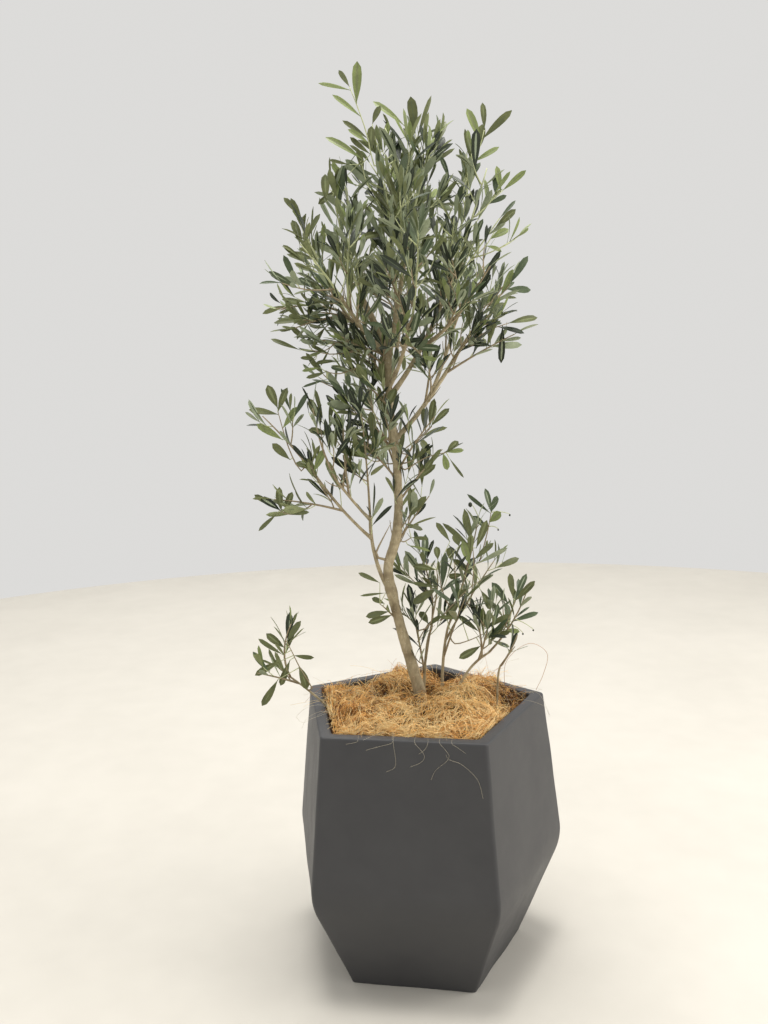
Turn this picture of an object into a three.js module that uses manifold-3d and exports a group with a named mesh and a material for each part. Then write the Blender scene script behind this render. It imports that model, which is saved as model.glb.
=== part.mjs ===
// Potted olive tree: a slender young tree with suckers at its foot, in a tall five-sided planter
// that is topped with coir fibre. Millimetres, +Z up, origin in the middle of the planter's
// underside, -Y towards the front. Every limb and every mass of foliage is worked out from the
// named sizes below by the functions under them.

import * as THREE from 'three';
import { mergeVertices } from 'three/addons/utils/BufferGeometryUtils.js';
import Module from 'manifold-3d';

const wasm = await Module();
wasm.setup();

// Planter: a five-sided body that widens to a belt and narrows again to its foot
const SIDES = 5;
const FIRST_CORNER = -136.5;
const FOOT_RADIUS = 148;
const BELT_RADIUS = 218;
const RIM_RADIUS = 190;
const BELT_HEIGHT = 147;
const RIM_HEIGHT = 377;
const WALL = 17;
const FLOOR = 20;
const CORNER_ROUND = 13;
const CORNER_STEPS = 2;
const BELT_SOFTNESS = 24;
const EDGE_ROUND = 3;

// Fill: potting soil up to SOIL_TOP, then a heap of coir fibre
const SOIL_TOP = 345;
const COIR_RINGS = 5;
const COIR_EDGE = 371;
const COIR_HEAPS = [
  { at: [-15, 10], high: 16, wide: 95 },
  { at: [118, 62], high: 34, wide: 46 },
  { at: [-34, 70], high: 16, wide: 40 },
  { at: [-112, 92], high: -22, wide: 42 },
  { at: [60, -60], high: 8, wide: 60 },
  { at: [-85, -60], high: 9, wide: 45 },
];

// Clearances between solids that touch, and round a limb that leaves pass by
const GAP = 0.3;
const SHY = 2;

// Trunk: its line from the soil to its tip, and its thickness along that line
const TRUNK_LINE = [
  [14, 0, SOIL_TOP + GAP], [-13, 0, 449], [-36, -3, 545], [-39, -3, 582], [-26, 0, 625],
  [-22, 2, 697], [-30, 0, 820], [-34, -2, 884], [-50, 0, 930], [-66, 3, 965],
];
const TRUNK_RADII = [9.2, 4.4];
const ROOT_FLARE = 5.5;
const FLARE_LENGTH = 22;
const TRUNK_STEPS = 20;
const TRUNK_FACETS = 8;

// Limbs: the limb each grows on, how far along that one, where its tip is, how far it sags
// below a straight line before it turns up, and its radius at both ends
const LIMBS = {
  bough_leader: { on: 'trunk', at: 0.84, tip: [4, -15, 1060], sag: 14, thick: [4.2, 2.6] },
  bough_right_high: { on: 'trunk', at: 0.77, tip: [64, -30, 996], sag: 34, thick: [3.6, 2.3] },
  bough_right_low: { on: 'trunk', at: 0.67, tip: [66, 22, 880], sag: 16, thick: [3.8, 2.4] },
  bough_left: { on: 'trunk', at: 0.9, tip: [-98, 4, 946], sag: 6, thick: [3.2, 2.2] },
  bough_front: { on: 'trunk', at: 0.79, tip: [2, -78, 930], sag: 20, thick: [3.2, 2.1] },
  bough_front_left: { on: 'trunk', at: 0.87, tip: [-92, -64, 960], sag: 16, thick: [3.1, 2.1] },
  bough_front_right: { on: 'bough_right_high', at: 0.42, tip: [76, -88, 950], sag: 14, thick: [2.9, 2] },
  bough_back: { on: 'trunk', at: 0.8, tip: [-8, 84, 945], sag: 22, thick: [3.2, 2.1] },
  bough_back_left: { on: 'trunk', at: 0.86, tip: [-96, 74, 955], sag: 18, thick: [3.1, 2.1] },
  bough_back_right: { on: 'bough_right_low', at: 0.5, tip: [70, 88, 925], sag: 14, thick: [2.9, 2] },
  bough_left_low: { on: 'trunk', at: 0.318, tip: [-63, -10, 656], sag: 10, thick: [3.2, 2.3] },
  bough_left_outer: { on: 'bough_left_low', at: 0.74, tip: [-142, -22, 726], sag: 14, thick: [2.2, 1.7] },
  bough_left_inner: { on: 'bough_left_low', at: 0.97, tip: [-108, -32, 712], sag: 4, thick: [2.1, 1.6] },
  sucker_stem_inner: { foot: [8, 26], tip: [22, 30, 478], sag: 10, thick: [2.6, 1.8] },
  sucker_stem_tall: { foot: [34, 16], tip: [50, 12, 496], sag: 14, thick: [2.9, 1.9] },
  sucker_stem_outer: { foot: [44, -8], tip: [104, -4, 450], sag: 14, thick: [2.6, 1.8] },
  sucker_stem_edge: { foot: [112, -22], tip: [118, -30, 438], sag: 2, thick: [2, 1.5] },
  sucker_stem_left: { foot: [-112, -6], tip: [-186, -14, 425], sag: 26, thick: [2, 1.5] },
};
const LIMB_FACETS = 6;
const LIMB_STEPS = 5;
// A sucker rises nearly upright first: its bend is this share of the way out from its foot
const SUCKER_BEND = 0.15;

// Masses of foliage: the limb each sits on, how far along that one, its furthest leaf tip, its
// half width and its number of leaves
const MASSES = {
  crown_top: { on: 'bough_leader', at: 1, tip: [-61, -15, 1268], girth: 74, leaves: 17 },
  crown_top_middle: { on: 'bough_leader', at: 0.8, tip: [16, 26, 1226], girth: 76, leaves: 17 },
  crown_top_left: { on: 'trunk', at: 1, tip: [-112, -6, 1166], girth: 84, leaves: 16 },
  crown_top_right: { on: 'bough_right_high', at: 1, tip: [134, -22, 1203], girth: 76, leaves: 17 },
  crown_right_upper: { on: 'bough_right_high', at: 0.74, tip: [162, -34, 1110], girth: 76, leaves: 17 },
  crown_right_middle: { on: 'bough_right_low', at: 1, tip: [172, 40, 1022], girth: 76, leaves: 17 },
  crown_right: { on: 'bough_right_low', at: 0.8, tip: [186, 4, 926], girth: 72, leaves: 17 },
  crown_left_upper: { on: 'bough_left', at: 0.7, tip: [-160, -12, 1096], girth: 76, leaves: 17 },
  crown_left: { on: 'bough_left', at: 1, tip: [-202, 0, 950], girth: 78, leaves: 17 },
  crown_left_low: { on: 'trunk', at: 0.64, tip: [-150, 4, 891], girth: 68, leaves: 12 },
  crown_middle: { on: 'bough_leader', at: 0.42, tip: [-34, -96, 1150], girth: 84, leaves: 17 },
  crown_middle_back: { on: 'bough_leader', at: 0.62, tip: [24, 104, 1166], girth: 84, leaves: 17 },
  crown_front: { on: 'bough_front', at: 1, tip: [10, -176, 1056], girth: 84, leaves: 17 },
  crown_front_low: { on: 'bough_front', at: 0.66, tip: [16, -158, 872], girth: 70, leaves: 14 },
  crown_front_left: { on: 'bough_front_left', at: 1, tip: [-152, -128, 1040], girth: 84, leaves: 17 },
  crown_front_right: { on: 'bough_front_right', at: 1, tip: [128, -142, 1030], girth: 82, leaves: 17 },
  crown_back: { on: 'bough_back', at: 1, tip: [-16, 182, 1066], girth: 84, leaves: 17 },
  crown_back_low: { on: 'bough_back', at: 0.64, tip: [0, 166, 874], girth: 72, leaves: 14 },
  crown_back_left: { on: 'bough_back_left', at: 1, tip: [-150, 140, 1050], girth: 84, leaves: 17 },
  crown_back_right: { on: 'bough_back_right', at: 1, tip: [132, 146, 1040], girth: 84, leaves: 17 },
  lower_back: { on: 'trunk', at: 0.6, tip: [-74, 112, 850], girth: 76, leaves: 12 },
  lower_left_outer: { on: 'bough_left_outer', at: 1, tip: [-226, -24, 826], girth: 64, leaves: 16 },
  lower_left_inner: { on: 'bough_left_inner', at: 1, tip: [-144, -46, 842], girth: 62, leaves: 14 },
  lower_left_tuft: { on: 'bough_left_outer', at: 0.44, tip: [-224, -20, 692], girth: 46, leaves: 9 },
  lower_middle: { on: 'bough_left_low', at: 1, tip: [-72, -52, 846], girth: 64, leaves: 16 },
  lower_right_upper: { on: 'trunk', at: 0.6, tip: [53, -34, 826], girth: 56, leaves: 11 },
  lower_right: { on: 'trunk', at: 0.53, tip: [72, 16, 778], girth: 54, leaves: 11 },
  lower_shoot: { on: 'trunk', at: 0.42, tip: [38, 4, 704], girth: 52, leaves: 8 },
  lower_sprig: { on: 'trunk', at: 0.25, tip: [-82, -8, 556], girth: 54, leaves: 6 },
  sucker_inner: { on: 'sucker_stem_inner', at: 1, tip: [4, 44, 622], girth: 62, leaves: 14 },
  sucker_tall: { on: 'sucker_stem_tall', at: 1, tip: [106, 14, 690], girth: 72, leaves: 17 },
  sucker_middle: { on: 'sucker_stem_tall', at: 0.78, tip: [140, 40, 612], girth: 64, leaves: 14 },
  sucker_outer: { on: 'sucker_stem_outer', at: 1, tip: [184, -2, 590], girth: 66, leaves: 16 },
  sucker_edge: { on: 'sucker_stem_edge', at: 1, tip: [152, -62, 530], girth: 60, leaves: 12 },
  sucker_left: { on: 'sucker_stem_left', at: 1, tip: [-180, -18, 528], girth: 56, leaves: 7 },
  sucker_left_low: { on: 'sucker_stem_left', at: 0.86, tip: [-250, -22, 440], girth: 56, leaves: 6 },
};

// Twigs and leaves
const STEM_RADII = [2, 1.2];
const TWIG_RADII = [1.6, 1];
const TWIG_FACETS = 3;
const STEM_STEPS = 3;
const STEM_SHARE = 0.78;
const STEM_BEND = 0.4;
const TURN_AT_TIP = 0.5;
const TURN_AT_SIDE = 0.85;
const SPACE_BEHIND = 0.25;
const TWIG_EVERY = 34;
const TWIG_LEAN = [0.85, 1.15];
const TWIG_LIFT = 0.5;
const TWIG_SHORTEST = 14;
const TWIG_STEP = 4;
const TWIG_STANDOFF = 20;
const TWIG_TRIES = 6;
const LEAF_TRIES = 12;
const TRY_TURN = 0.7;
const TRY_LEAN = 1.4;
const TRY_SHRINK = 0.03;
const SUNK = 1.6;
const LEAF_LENGTH = 82;
const LEAF_WIDTH = 28;
const LEAF_THICKNESS = 2.4;
const LEAF_BELLY = 0.5;
const LEAF_EVERY = 18;
const LEAF_SPREAD = [0.64, 0.96];
const LAST_PAIR_SPREAD = 0.6;
const END_LEAF_LEAN = 0.1;
const LEAF_SIZES = [0.85, 1.15];
const LEAF_CUP = 0.9;
const STEM_BARE = 0.1;
const TWIG_BARE = 0.35;
const SMALLEST_LEAF = 0.3;
const ROOT_SHARE = 0.12;
const QUARTER = Math.PI / 2;
const GOLDEN = 2.4;

// The seeded draws
const FIRST_STATE = 7919;
const DRAW_FACTOR = 48271;
const DRAW_RANGE = 2147483647;

const UP = new THREE.Vector3(0, 0, 1);

const spot = ([x, y, z]) => new THREE.Vector3(x, y, z);

function paint(colour, roughness) {
  return new THREE.MeshStandardMaterial({ color: colour, roughness, metalness: 0 });
}

// One closed mesh: shared corners merged, and triangles with no area left out
function welded(geometry) {
  geometry.deleteAttribute('normal');
  geometry.deleteAttribute('uv');
  const merged = mergeVertices(geometry, 1e-4);
  const corners = merged.index.array;
  const kept = [];
  for (let i = 0; i < corners.length; i += 3) {
    const [a, b, c] = corners.slice(i, i + 3);
    if (a !== b && b !== c && c !== a) kept.push(a, b, c);
  }
  merged.setIndex(kept);
  return merged;
}

// A turned shape whose points are then set by place(radius, height, turn, ring)
function turned(profile, facets, place) {
  const outline = profile.map(([radius, height]) => new THREE.Vector2(radius, height));
  const geometry = new THREE.LatheGeometry(outline, facets);
  const points = geometry.attributes.position;
  for (let v = 0; v < points.count; v += 1) {
    const ring = v % profile.length;
    const turn = Math.floor(v / profile.length) % facets;
    const at = place(profile[ring][0], profile[ring][1], turn, ring);
    points.setXYZ(v, at.x, at.y, at.z);
  }
  return welded(geometry);
}

function solid(geometry) {
  return new wasm.Manifold(new wasm.Mesh({
    numProp: 3,
    vertProperties: new Float32Array(geometry.attributes.position.array),
    triVerts: new Uint32Array(geometry.index.array),
  }));
}

// The largest piece of a solid, without loose scraps or sealed hollows
function largest(body) {
  const pieces = body.decompose();
  return pieces.reduce((best, piece) => (piece.volume() > best.volume() ? piece : best));
}

function surface(body) {
  const mesh = body.getMesh();
  const geometry = new THREE.BufferGeometry();
  geometry.setAttribute('position', new THREE.BufferAttribute(mesh.vertProperties, 3));
  geometry.setIndex(new THREE.BufferAttribute(mesh.triVerts, 1));
  return geometry;
}

// Planter and fill

// A point on a regular outline with rounded corners, counted round it in equal turns
function outlinePoint(radius, turn) {
  const perCorner = CORNER_STEPS + 1;
  const corner = Math.floor(turn / perCorner);
  const step = turn % perCorner;
  const heading = THREE.MathUtils.degToRad(FIRST_CORNER + (360 / SIDES) * corner);
  const half = Math.PI / SIDES;
  const round = Math.min(CORNER_ROUND, radius * 0.5);
  const out = radius - round / Math.cos(half);
  const angle = heading - half + (2 * half * step) / CORNER_STEPS;
  return [
    out * Math.cos(heading) + round * Math.cos(angle),
    out * Math.sin(heading) + round * Math.sin(angle),
  ];
}

// Outer radius of the planter at a height, with the belt's crease softened by an arc
function outerRadius(height) {
  const below = FOOT_RADIUS + ((BELT_RADIUS - FOOT_RADIUS) * height) / BELT_HEIGHT;
  const slope = (RIM_RADIUS - BELT_RADIUS) / (RIM_HEIGHT - BELT_HEIGHT);
  const above = BELT_RADIUS + slope * (height - BELT_HEIGHT);
  const near = Math.max(0, 1 - Math.abs(height - BELT_HEIGHT) / BELT_SOFTNESS);
  const turn = (BELT_RADIUS - FOOT_RADIUS) / BELT_HEIGHT - slope;
  return Math.min(below, above) - (turn * BELT_SOFTNESS * near * near) / 4;
}

const INSET = WALL / Math.cos(Math.PI / SIDES);

function planter() {
  const softHeights = [-1, -0.5, 0, 0.5, 1].map((s) => BELT_HEIGHT + s * BELT_SOFTNESS);
  const profile = [[0, 0], [FOOT_RADIUS - 2 * EDGE_ROUND, 0]];
  profile.push([outerRadius(EDGE_ROUND), EDGE_ROUND]);
  for (const height of [3 * EDGE_ROUND, ...softHeights]) profile.push([outerRadius(height), height]);
  profile.push([outerRadius(RIM_HEIGHT - EDGE_ROUND), RIM_HEIGHT - EDGE_ROUND]);
  profile.push([RIM_RADIUS - EDGE_ROUND, RIM_HEIGHT]);
  profile.push([RIM_RADIUS - INSET + EDGE_ROUND, RIM_HEIGHT]);
  profile.push([RIM_RADIUS - INSET, RIM_HEIGHT - EDGE_ROUND]);
  profile.push([outerRadius(BELT_HEIGHT) - INSET, BELT_HEIGHT]);
  profile.push([outerRadius(FLOOR) - INSET, FLOOR], [0, FLOOR]);
  return turned(profile, SIDES * (CORNER_STEPS + 1), (radius, height, turn) => {
    const [x, y] = radius > 0 ? outlinePoint(radius, turn) : [0, 0];
    return new THREE.Vector3(x, y, height);
  });
}

// Radius inside the planter's wall at a height
function innerRadius(height) {
  const low = outerRadius(FLOOR) - INSET;
  const wide = outerRadius(BELT_HEIGHT) - INSET;
  const high = RIM_RADIUS - INSET;
  if (height < BELT_HEIGHT) return low + ((wide - low) * (height - FLOOR)) / (BELT_HEIGHT - FLOOR);
  const share = (height - BELT_HEIGHT) / (RIM_HEIGHT - EDGE_ROUND - BELT_HEIGHT);
  return wide + (high - wide) * share;
}

function soil() {
  const levels = [FLOOR + GAP, BELT_HEIGHT, SOIL_TOP];
  const rim = levels.map((height) => [innerRadius(height) - 2 * GAP, height]);
  const profile = [[0, levels[0]], ...rim, [0, SOIL_TOP]];
  return turned(profile, SIDES * (CORNER_STEPS + 1), (radius, height, turn) => {
    const [x, y] = radius > 0 ? outlinePoint(radius, turn) : [0, 0];
    return new THREE.Vector3(x, y, height);
  });
}

function coirHeight(x, y) {
  let height = COIR_EDGE;
  for (const heap of COIR_HEAPS) {
    const away = Math.hypot(x - heap.at[0], y - heap.at[1]) / heap.wide;
    height += heap.high * Math.exp(-away * away);
  }
  return height;
}

function coir(stems) {
  const bottom = SOIL_TOP + GAP;
  const reach = innerRadius(COIR_EDGE) - 2 * GAP;
  const profile = [[0, bottom], [reach, bottom]];
  for (let ring = COIR_RINGS; ring > 0; ring -= 1) profile.push([(reach * ring) / COIR_RINGS, COIR_EDGE]);
  profile.push([0, COIR_EDGE]);
  const heap = turned(profile, SIDES * (CORNER_STEPS + 1), (radius, height, turn) => {
    const rim = outlinePoint(reach, turn);
    const [x, y] = rim.map((value) => (value * radius) / reach);
    return new THREE.Vector3(x, y, height > bottom ? coirHeight(x, y) : bottom);
  });
  return surface(largest(solid(heap).subtract(wasm.Manifold.union(stems))));
}

// Limbs

// A round tapering limb along a curve. Grown makes it thicker all over by that much, and level
// sets its first ring on the ground.
function tube(curve, radiusAt, facets, steps, { grown = 0, level = false } = {}) {
  const frames = curve.computeFrenetFrames(steps, false);
  const length = curve.getLength();
  const profile = [[0, 0]];
  for (let i = 0; i <= steps; i += 1) profile.push([radiusAt(i / steps) + grown, (length * i) / steps]);
  profile.push([0, length]);
  const points = frames.tangents.map((_, i) => curve.getPointAt(i / steps));
  return turned(profile, facets, (radius, height, turn) => {
    const i = Math.round((height / length) * steps);
    const angle = (2 * Math.PI * turn) / facets;
    const at = points[i].clone();
    at.addScaledVector(frames.binormals[i], radius * Math.sin(angle));
    at.addScaledVector(frames.normals[i], radius * Math.cos(angle));
    if (i === 0) at.addScaledVector(frames.tangents[0], -grown);
    if (i === steps) at.addScaledVector(frames.tangents[steps], grown);
    if (level && i === 0) at.z = curve.getPointAt(0).z - grown;
    return at;
  });
}

function taper([thick, thin]) {
  return (share) => thick + (thin - thick) * share;
}

const limbs = {};

function addLimb(name, curve, radiusAt, facets, steps, level) {
  const body = (grown) => solid(tube(curve, radiusAt, facets, steps, { grown, level }));
  limbs[name] = { curve, body: body(0), clearance: body(GAP) };
}

function addTrunk() {
  const curve = new THREE.CatmullRomCurve3(TRUNK_LINE.map(spot), false, 'centripetal');
  const plain = taper(TRUNK_RADII);
  const length = curve.getLength();
  const radiusAt = (share) => plain(share) + ROOT_FLARE * Math.exp((-share * length) / FLARE_LENGTH);
  addLimb('trunk', curve, radiusAt, TRUNK_FACETS, TRUNK_STEPS, true);
}

function addLimbs() {
  for (const [name, limb] of Object.entries(LIMBS)) {
    const foot = limb.foot ? [...limb.foot, SOIL_TOP + GAP] : null;
    const start = foot ? spot(foot) : limbs[limb.on].curve.getPointAt(limb.at);
    const tip = spot(limb.tip);
    const bend = start.clone().lerp(tip, foot ? SUCKER_BEND : 0.5).addScaledVector(UP, -limb.sag);
    if (foot) bend.z = tip.z - 2 * limb.sag;
    const curve = new THREE.QuadraticBezierCurve3(start, bend, tip);
    addLimb(name, curve, taper(limb.thick), LIMB_FACETS, LIMB_STEPS, Boolean(foot));
    if (limb.on) {
      const seated = limbs[name].body.subtract(limbs[limb.on].clearance);
      limbs[name].body = largest(seated);
    }
  }
}

// Foliage

// The stem of a mass, and the space that it keeps to: an ellipsoid that ends at its tip, cut by
// a plane on the way to each neighbour
function makeSpace([name, mass], index) {
  const parent = limbs[mass.on];
  const heading = parent.curve.getTangentAt(mass.at);
  const foot = parent.curve.getPointAt(mass.at);
  if (mass.at === 1) foot.addScaledVector(heading, GAP);
  const tip = spot(mass.tip);
  const axis = tip.clone().sub(foot).normalize();
  const reach = foot.distanceTo(tip);
  const leaving = heading.lerp(axis, mass.at === 1 ? TURN_AT_TIP : TURN_AT_SIDE).normalize();
  const bend = foot.clone().addScaledVector(leaving, reach * STEM_BEND);
  const stem = new THREE.QuadraticBezierCurve3(foot, bend, foot.clone().lerp(tip, STEM_SHARE));
  const back = foot.clone().lerp(tip, -SPACE_BEHIND);
  const half = back.distanceTo(tip) / 2;
  return { name, index, mass, stem, axis, tip, half, middle: back.lerp(tip, 0.5), walls: [] };
}

// How far a space reaches from its middle towards a direction
function support(space, direction) {
  const along = space.axis.dot(direction) ** 2;
  return Math.sqrt(space.half ** 2 * along + space.mass.girth ** 2 * (1 - along));
}

// A wall stands between two spaces that would meet, nearer to the smaller one
function raiseWalls(spaces) {
  for (const one of spaces) {
    for (const other of spaces) {
      if (one === other) continue;
      const across = other.middle.clone().sub(one.middle);
      const apart = across.length();
      across.normalize();
      const mine = support(one, across);
      const theirs = support(other, across);
      if (apart > mine + theirs) continue;
      const limit = one.middle.dot(across) + (apart * mine) / (mine + theirs) - SHY / 2;
      one.walls.push({ across, limit });
    }
  }
}

function inside(space, point) {
  const off = point.clone().sub(space.middle);
  const along = off.dot(space.axis);
  const beside = off.lengthSq() - along * along;
  const round = (along / space.half) ** 2 + beside / space.mass.girth ** 2;
  return round <= 1 && space.walls.every((wall) => point.dot(wall.across) <= wall.limit);
}

// Equal draws in every run: each mass has its own row of numbers, by default between 0 and 1
function seeded(index) {
  let state = FIRST_STATE * (index + 1);
  return (low = 0, high = 1) => {
    state = (state * DRAW_FACTOR) % DRAW_RANGE;
    return low + ((high - low) * state) / DRAW_RANGE;
  };
}

// A direction leaned away from another, at a turn round it
function turnedAway(direction, turn, lean) {
  const helper = Math.abs(direction.z) < 0.9 ? UP : new THREE.Vector3(1, 0, 0);
  const side = new THREE.Vector3().crossVectors(helper, direction).normalize();
  const face = new THREE.Vector3().crossVectors(direction, side);
  const out = side.multiplyScalar(Math.cos(turn)).addScaledVector(face, Math.sin(turn));
  return direction.clone().multiplyScalar(Math.cos(lean)).addScaledVector(out, Math.sin(lean));
}

function twigSolid(curve, radii, steps, grown = 0) {
  return solid(tube(curve, taper(radii), TWIG_FACETS, steps, { grown }));
}

// The corners of a leaf: its root and tip, its two edges, and the keel under its midrib. Fat
// makes it larger all round, and bare leaves out that share of it at its root.
function leafShape({ root, heading, lean, turn, size }, { fat = 0, bare = 0 } = {}) {
  const along = turnedAway(heading, turn, lean).normalize();
  const outer = turnedAway(heading, turn, lean + LEAF_CUP);
  const edge = new THREE.Vector3().crossVectors(along, outer).normalize();
  const face = new THREE.Vector3().crossVectors(edge, along);
  const length = LEAF_LENGTH * size;
  const half = (LEAF_WIDTH * size) / 2 + fat;
  const foot = root.clone().addScaledVector(heading, -SUNK);
  const centre = foot.clone().addScaledVector(along, length * LEAF_BELLY);
  centre.addScaledVector(face, fat);
  return {
    root: foot.clone().addScaledVector(along, length * bare),
    tip: foot.clone().addScaledVector(along, length + SUNK + fat),
    left: centre.clone().addScaledVector(edge, -half),
    right: centre.clone().addScaledVector(edge, half),
    keel: centre.clone().addScaledVector(face, -LEAF_THICKNESS - 2 * fat),
  };
}

// Two three-sided pyramids base to base, with their five corners moved to the leaf's
function leafSolid(leaf) {
  const geometry = welded(new THREE.ConeGeometry(1, 1, 3));
  const points = geometry.attributes.position;
  for (let v = 0; v < points.count; v += 1) {
    const [x, y, z] = [points.getX(v), points.getY(v), points.getZ(v)];
    let corner = x > 0 ? leaf.right : leaf.left;
    if (z > 0.5) corner = leaf.keel;
    if (Math.hypot(x, z) < 0.5) corner = y > 0 ? leaf.root : leaf.tip;
    points.setXYZ(v, corner.x, corner.y, corner.z);
  }
  return solid(geometry);
}

// A body with its box, so that far ones are passed over quickly
function boxed(body) {
  const { min, max } = body.boundingBox();
  return { body, box: new THREE.Box3(spot(min), spot(max)) };
}

function clear(body, others) {
  const { box } = boxed(body);
  return !others.some((other) => other.box.intersectsBox(box) && !other.body.intersect(body).isEmpty());
}

// A side twig that leaves the stem at a turn round it and lifts towards the stem's own heading,
// as long as its space lets it be
function sideTwig(space, share, turn, lean) {
  const start = space.stem.getPointAt(share);
  const heading = space.stem.getTangentAt(share);
  const out = turnedAway(heading, turn, lean);
  const lifted = out.clone().lerp(heading, TWIG_LIFT).normalize();
  let long = TWIG_SHORTEST;
  const ahead = () => start.clone().addScaledVector(out, long + TWIG_STANDOFF);
  while (long < space.mass.girth && inside(space, ahead())) long += TWIG_STEP;
  const bend = start.clone().addScaledVector(out, long / 2);
  const end = bend.clone().addScaledVector(lifted, long / 2);
  return new THREE.QuadraticBezierCurve3(start, bend, end);
}

// Side twigs leave the stem at even steps, each a golden turn on from the last. One that would
// leave its space or touch a limb is turned on, and left out if no turn frees it.
function sideTwigs(space, draw, others) {
  const twigs = [];
  const count = Math.max(2, Math.round(space.stem.getLength() / TWIG_EVERY));
  const firstTurn = draw() * 2 * Math.PI;
  for (let i = 0; i < count; i += 1) {
    const share = (i + 0.45) / (count + 0.2);
    const lean = draw(...TWIG_LEAN);
    for (let tries = 0; tries < TWIG_TRIES; tries += 1) {
      const twig = sideTwig(space, share, firstTurn + GOLDEN * i + tries, lean);
      if (!inside(space, twig.v2) || !clear(twigSolid(twig, TWIG_RADII, 1, SHY), others)) continue;
      twigs.push(twig);
      break;
    }
  }
  return twigs;
}

// Where leaves sit on a twig: pairs at even steps, each pair a quarter turn on from the last,
// and a leaf that ends the twig
function leafPlaces(curve, from, draw, scale) {
  const places = [];
  const pairs = Math.max(1, Math.floor((curve.getLength() * (1 - from)) / LEAF_EVERY));
  const firstTurn = draw() * 2 * Math.PI;
  for (let i = 0; i <= pairs; i += 1) {
    const share = from + ((1 - from) * (i + 0.5)) / (pairs + 0.5);
    for (const half of [0, Math.PI]) {
      places.push({
        root: curve.getPointAt(Math.min(share, 1)),
        heading: curve.getTangentAt(Math.min(share, 1)),
        lean: draw(...LEAF_SPREAD) * (i === pairs ? LAST_PAIR_SPREAD : 1),
        turn: firstTurn + QUARTER * i + half,
        size: scale * draw(...LEAF_SIZES),
      });
    }
  }
  return places;
}

function endLeaf(curve, turn, size) {
  return { root: curve.getPointAt(1), heading: curve.getTangentAt(1), lean: END_LEAF_LEAN, turn, size };
}

// The leaf that ends the stem and reaches the tip of the space
function crestLeaf(space) {
  const root = space.stem.getPointAt(1);
  const chord = space.tip.clone().sub(root);
  const size = chord.length() / LEAF_LENGTH;
  return { root, heading: chord.normalize(), lean: 0, turn: space.index, size };
}

// What each mass has before its side twigs: its stem and the leaf that ends it
function core(space, fat = 0) {
  const leaf = leafSolid(leafShape(crestLeaf(space), { fat }));
  return twigSolid(space.stem, STEM_RADII, STEM_STEPS, fat).add(leaf);
}

// The first turn of a leaf round its twig that keeps it in its space and clear of the rest
function fittedLeaf(space, place, others, blades) {
  for (let tries = 0; tries < LEAF_TRIES; tries += 1) {
    const size = place.size * (1 - TRY_SHRINK * tries);
    const lean = place.lean * (tries % 3 === 2 ? TRY_LEAN : 1);
    const tried = { ...place, turn: place.turn + tries * TRY_TURN, lean, size };
    const rim = leafShape(tried);
    if (![rim.left, rim.right, rim.tip].every((point) => inside(space, point))) continue;
    if (!clear(leafSolid(leafShape(tried, { fat: SHY / 2 })), others)) continue;
    if (clear(leafSolid(leafShape(tried, { fat: SHY / 2, bare: ROOT_SHARE })), blades)) return tried;
  }
  return null;
}

// Every so many of a row, so that it is used evenly from end to end
function strided(row) {
  return [0, 1, 2].flatMap((first) => row.filter((_, i) => i % 3 === first));
}

function foliage(space, others) {
  const draw = seeded(space.index);
  const twigs = sideTwigs(space, draw, others);
  const scale = Math.min(1, SMALLEST_LEAF + space.mass.girth / 100);
  const places = twigs.map((twig, i) => endLeaf(twig, i, scale));
  const pairs = leafPlaces(space.stem, STEM_BARE, draw, scale);
  for (const twig of twigs) pairs.push(...leafPlaces(twig, TWIG_BARE, draw, scale));
  places.push(...strided(pairs));
  const leaves = [];
  const blades = [boxed(leafSolid(leafShape(crestLeaf(space), { bare: ROOT_SHARE })))];
  blades.push(boxed(twigSolid(space.stem, STEM_RADII, STEM_STEPS)));
  blades.push(...twigs.map((twig) => boxed(twigSolid(twig, TWIG_RADII, 1))));
  for (const place of places) {
    const leaf = leaves.length < space.mass.leaves && fittedLeaf(space, place, others, blades);
    if (!leaf) continue;
    leaves.push(leaf);
    blades.push(boxed(leafSolid(leafShape(leaf, { bare: ROOT_SHARE }))));
  }
  const bodies = [core(space), ...twigs.map((twig) => twigSolid(twig, TWIG_RADII, 1))];
  bodies.push(...leaves.map((leaf) => leafSolid(leafShape(leaf))));
  const clearances = Object.values(limbs).map((limb) => limb.clearance);
  return largest(wasm.Manifold.union(bodies).subtract(wasm.Manifold.union(clearances)));
}

// The whole plant

const tree = new THREE.Group();

function add(name, geometry, material) {
  const mesh = new THREE.Mesh(geometry, material);
  mesh.name = name;
  tree.add(mesh);
}

const glaze = paint('#4b4b4d', 0.75);
const earth = paint('#3a2c22', 0.95);
const fibre = paint('#a87a44', 0.95);
const bark = paint('#8c806c', 0.85);
const leafGreen = paint('#5c6b4c', 0.6);

addTrunk();
addLimbs();
const rooted = ['trunk', ...Object.keys(LIMBS).filter((name) => LIMBS[name].foot)];

add('planter', planter(), glaze);
add('soil', soil(), earth);
add('coir_mulch', coir(rooted.map((name) => limbs[name].clearance)), fibre);
for (const [name, limb] of Object.entries(limbs)) add(name, surface(limb.body), bark);

const spaces = Object.entries(MASSES).map(makeSpace);
raiseWalls(spaces);
const standing = Object.values(limbs).map((limb) => boxed(limb.clearance));
const masses = spaces.map((space) => boxed(core(space, SHY / 2)));
for (const space of spaces) {
  const others = [...standing, ...masses.filter((_, i) => i !== space.index)];
  const body = foliage(space, others);
  masses[space.index] = boxed(body);
  add(`leaves_${space.name}`, surface(body), leafGreen);
}

export default tree;
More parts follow.
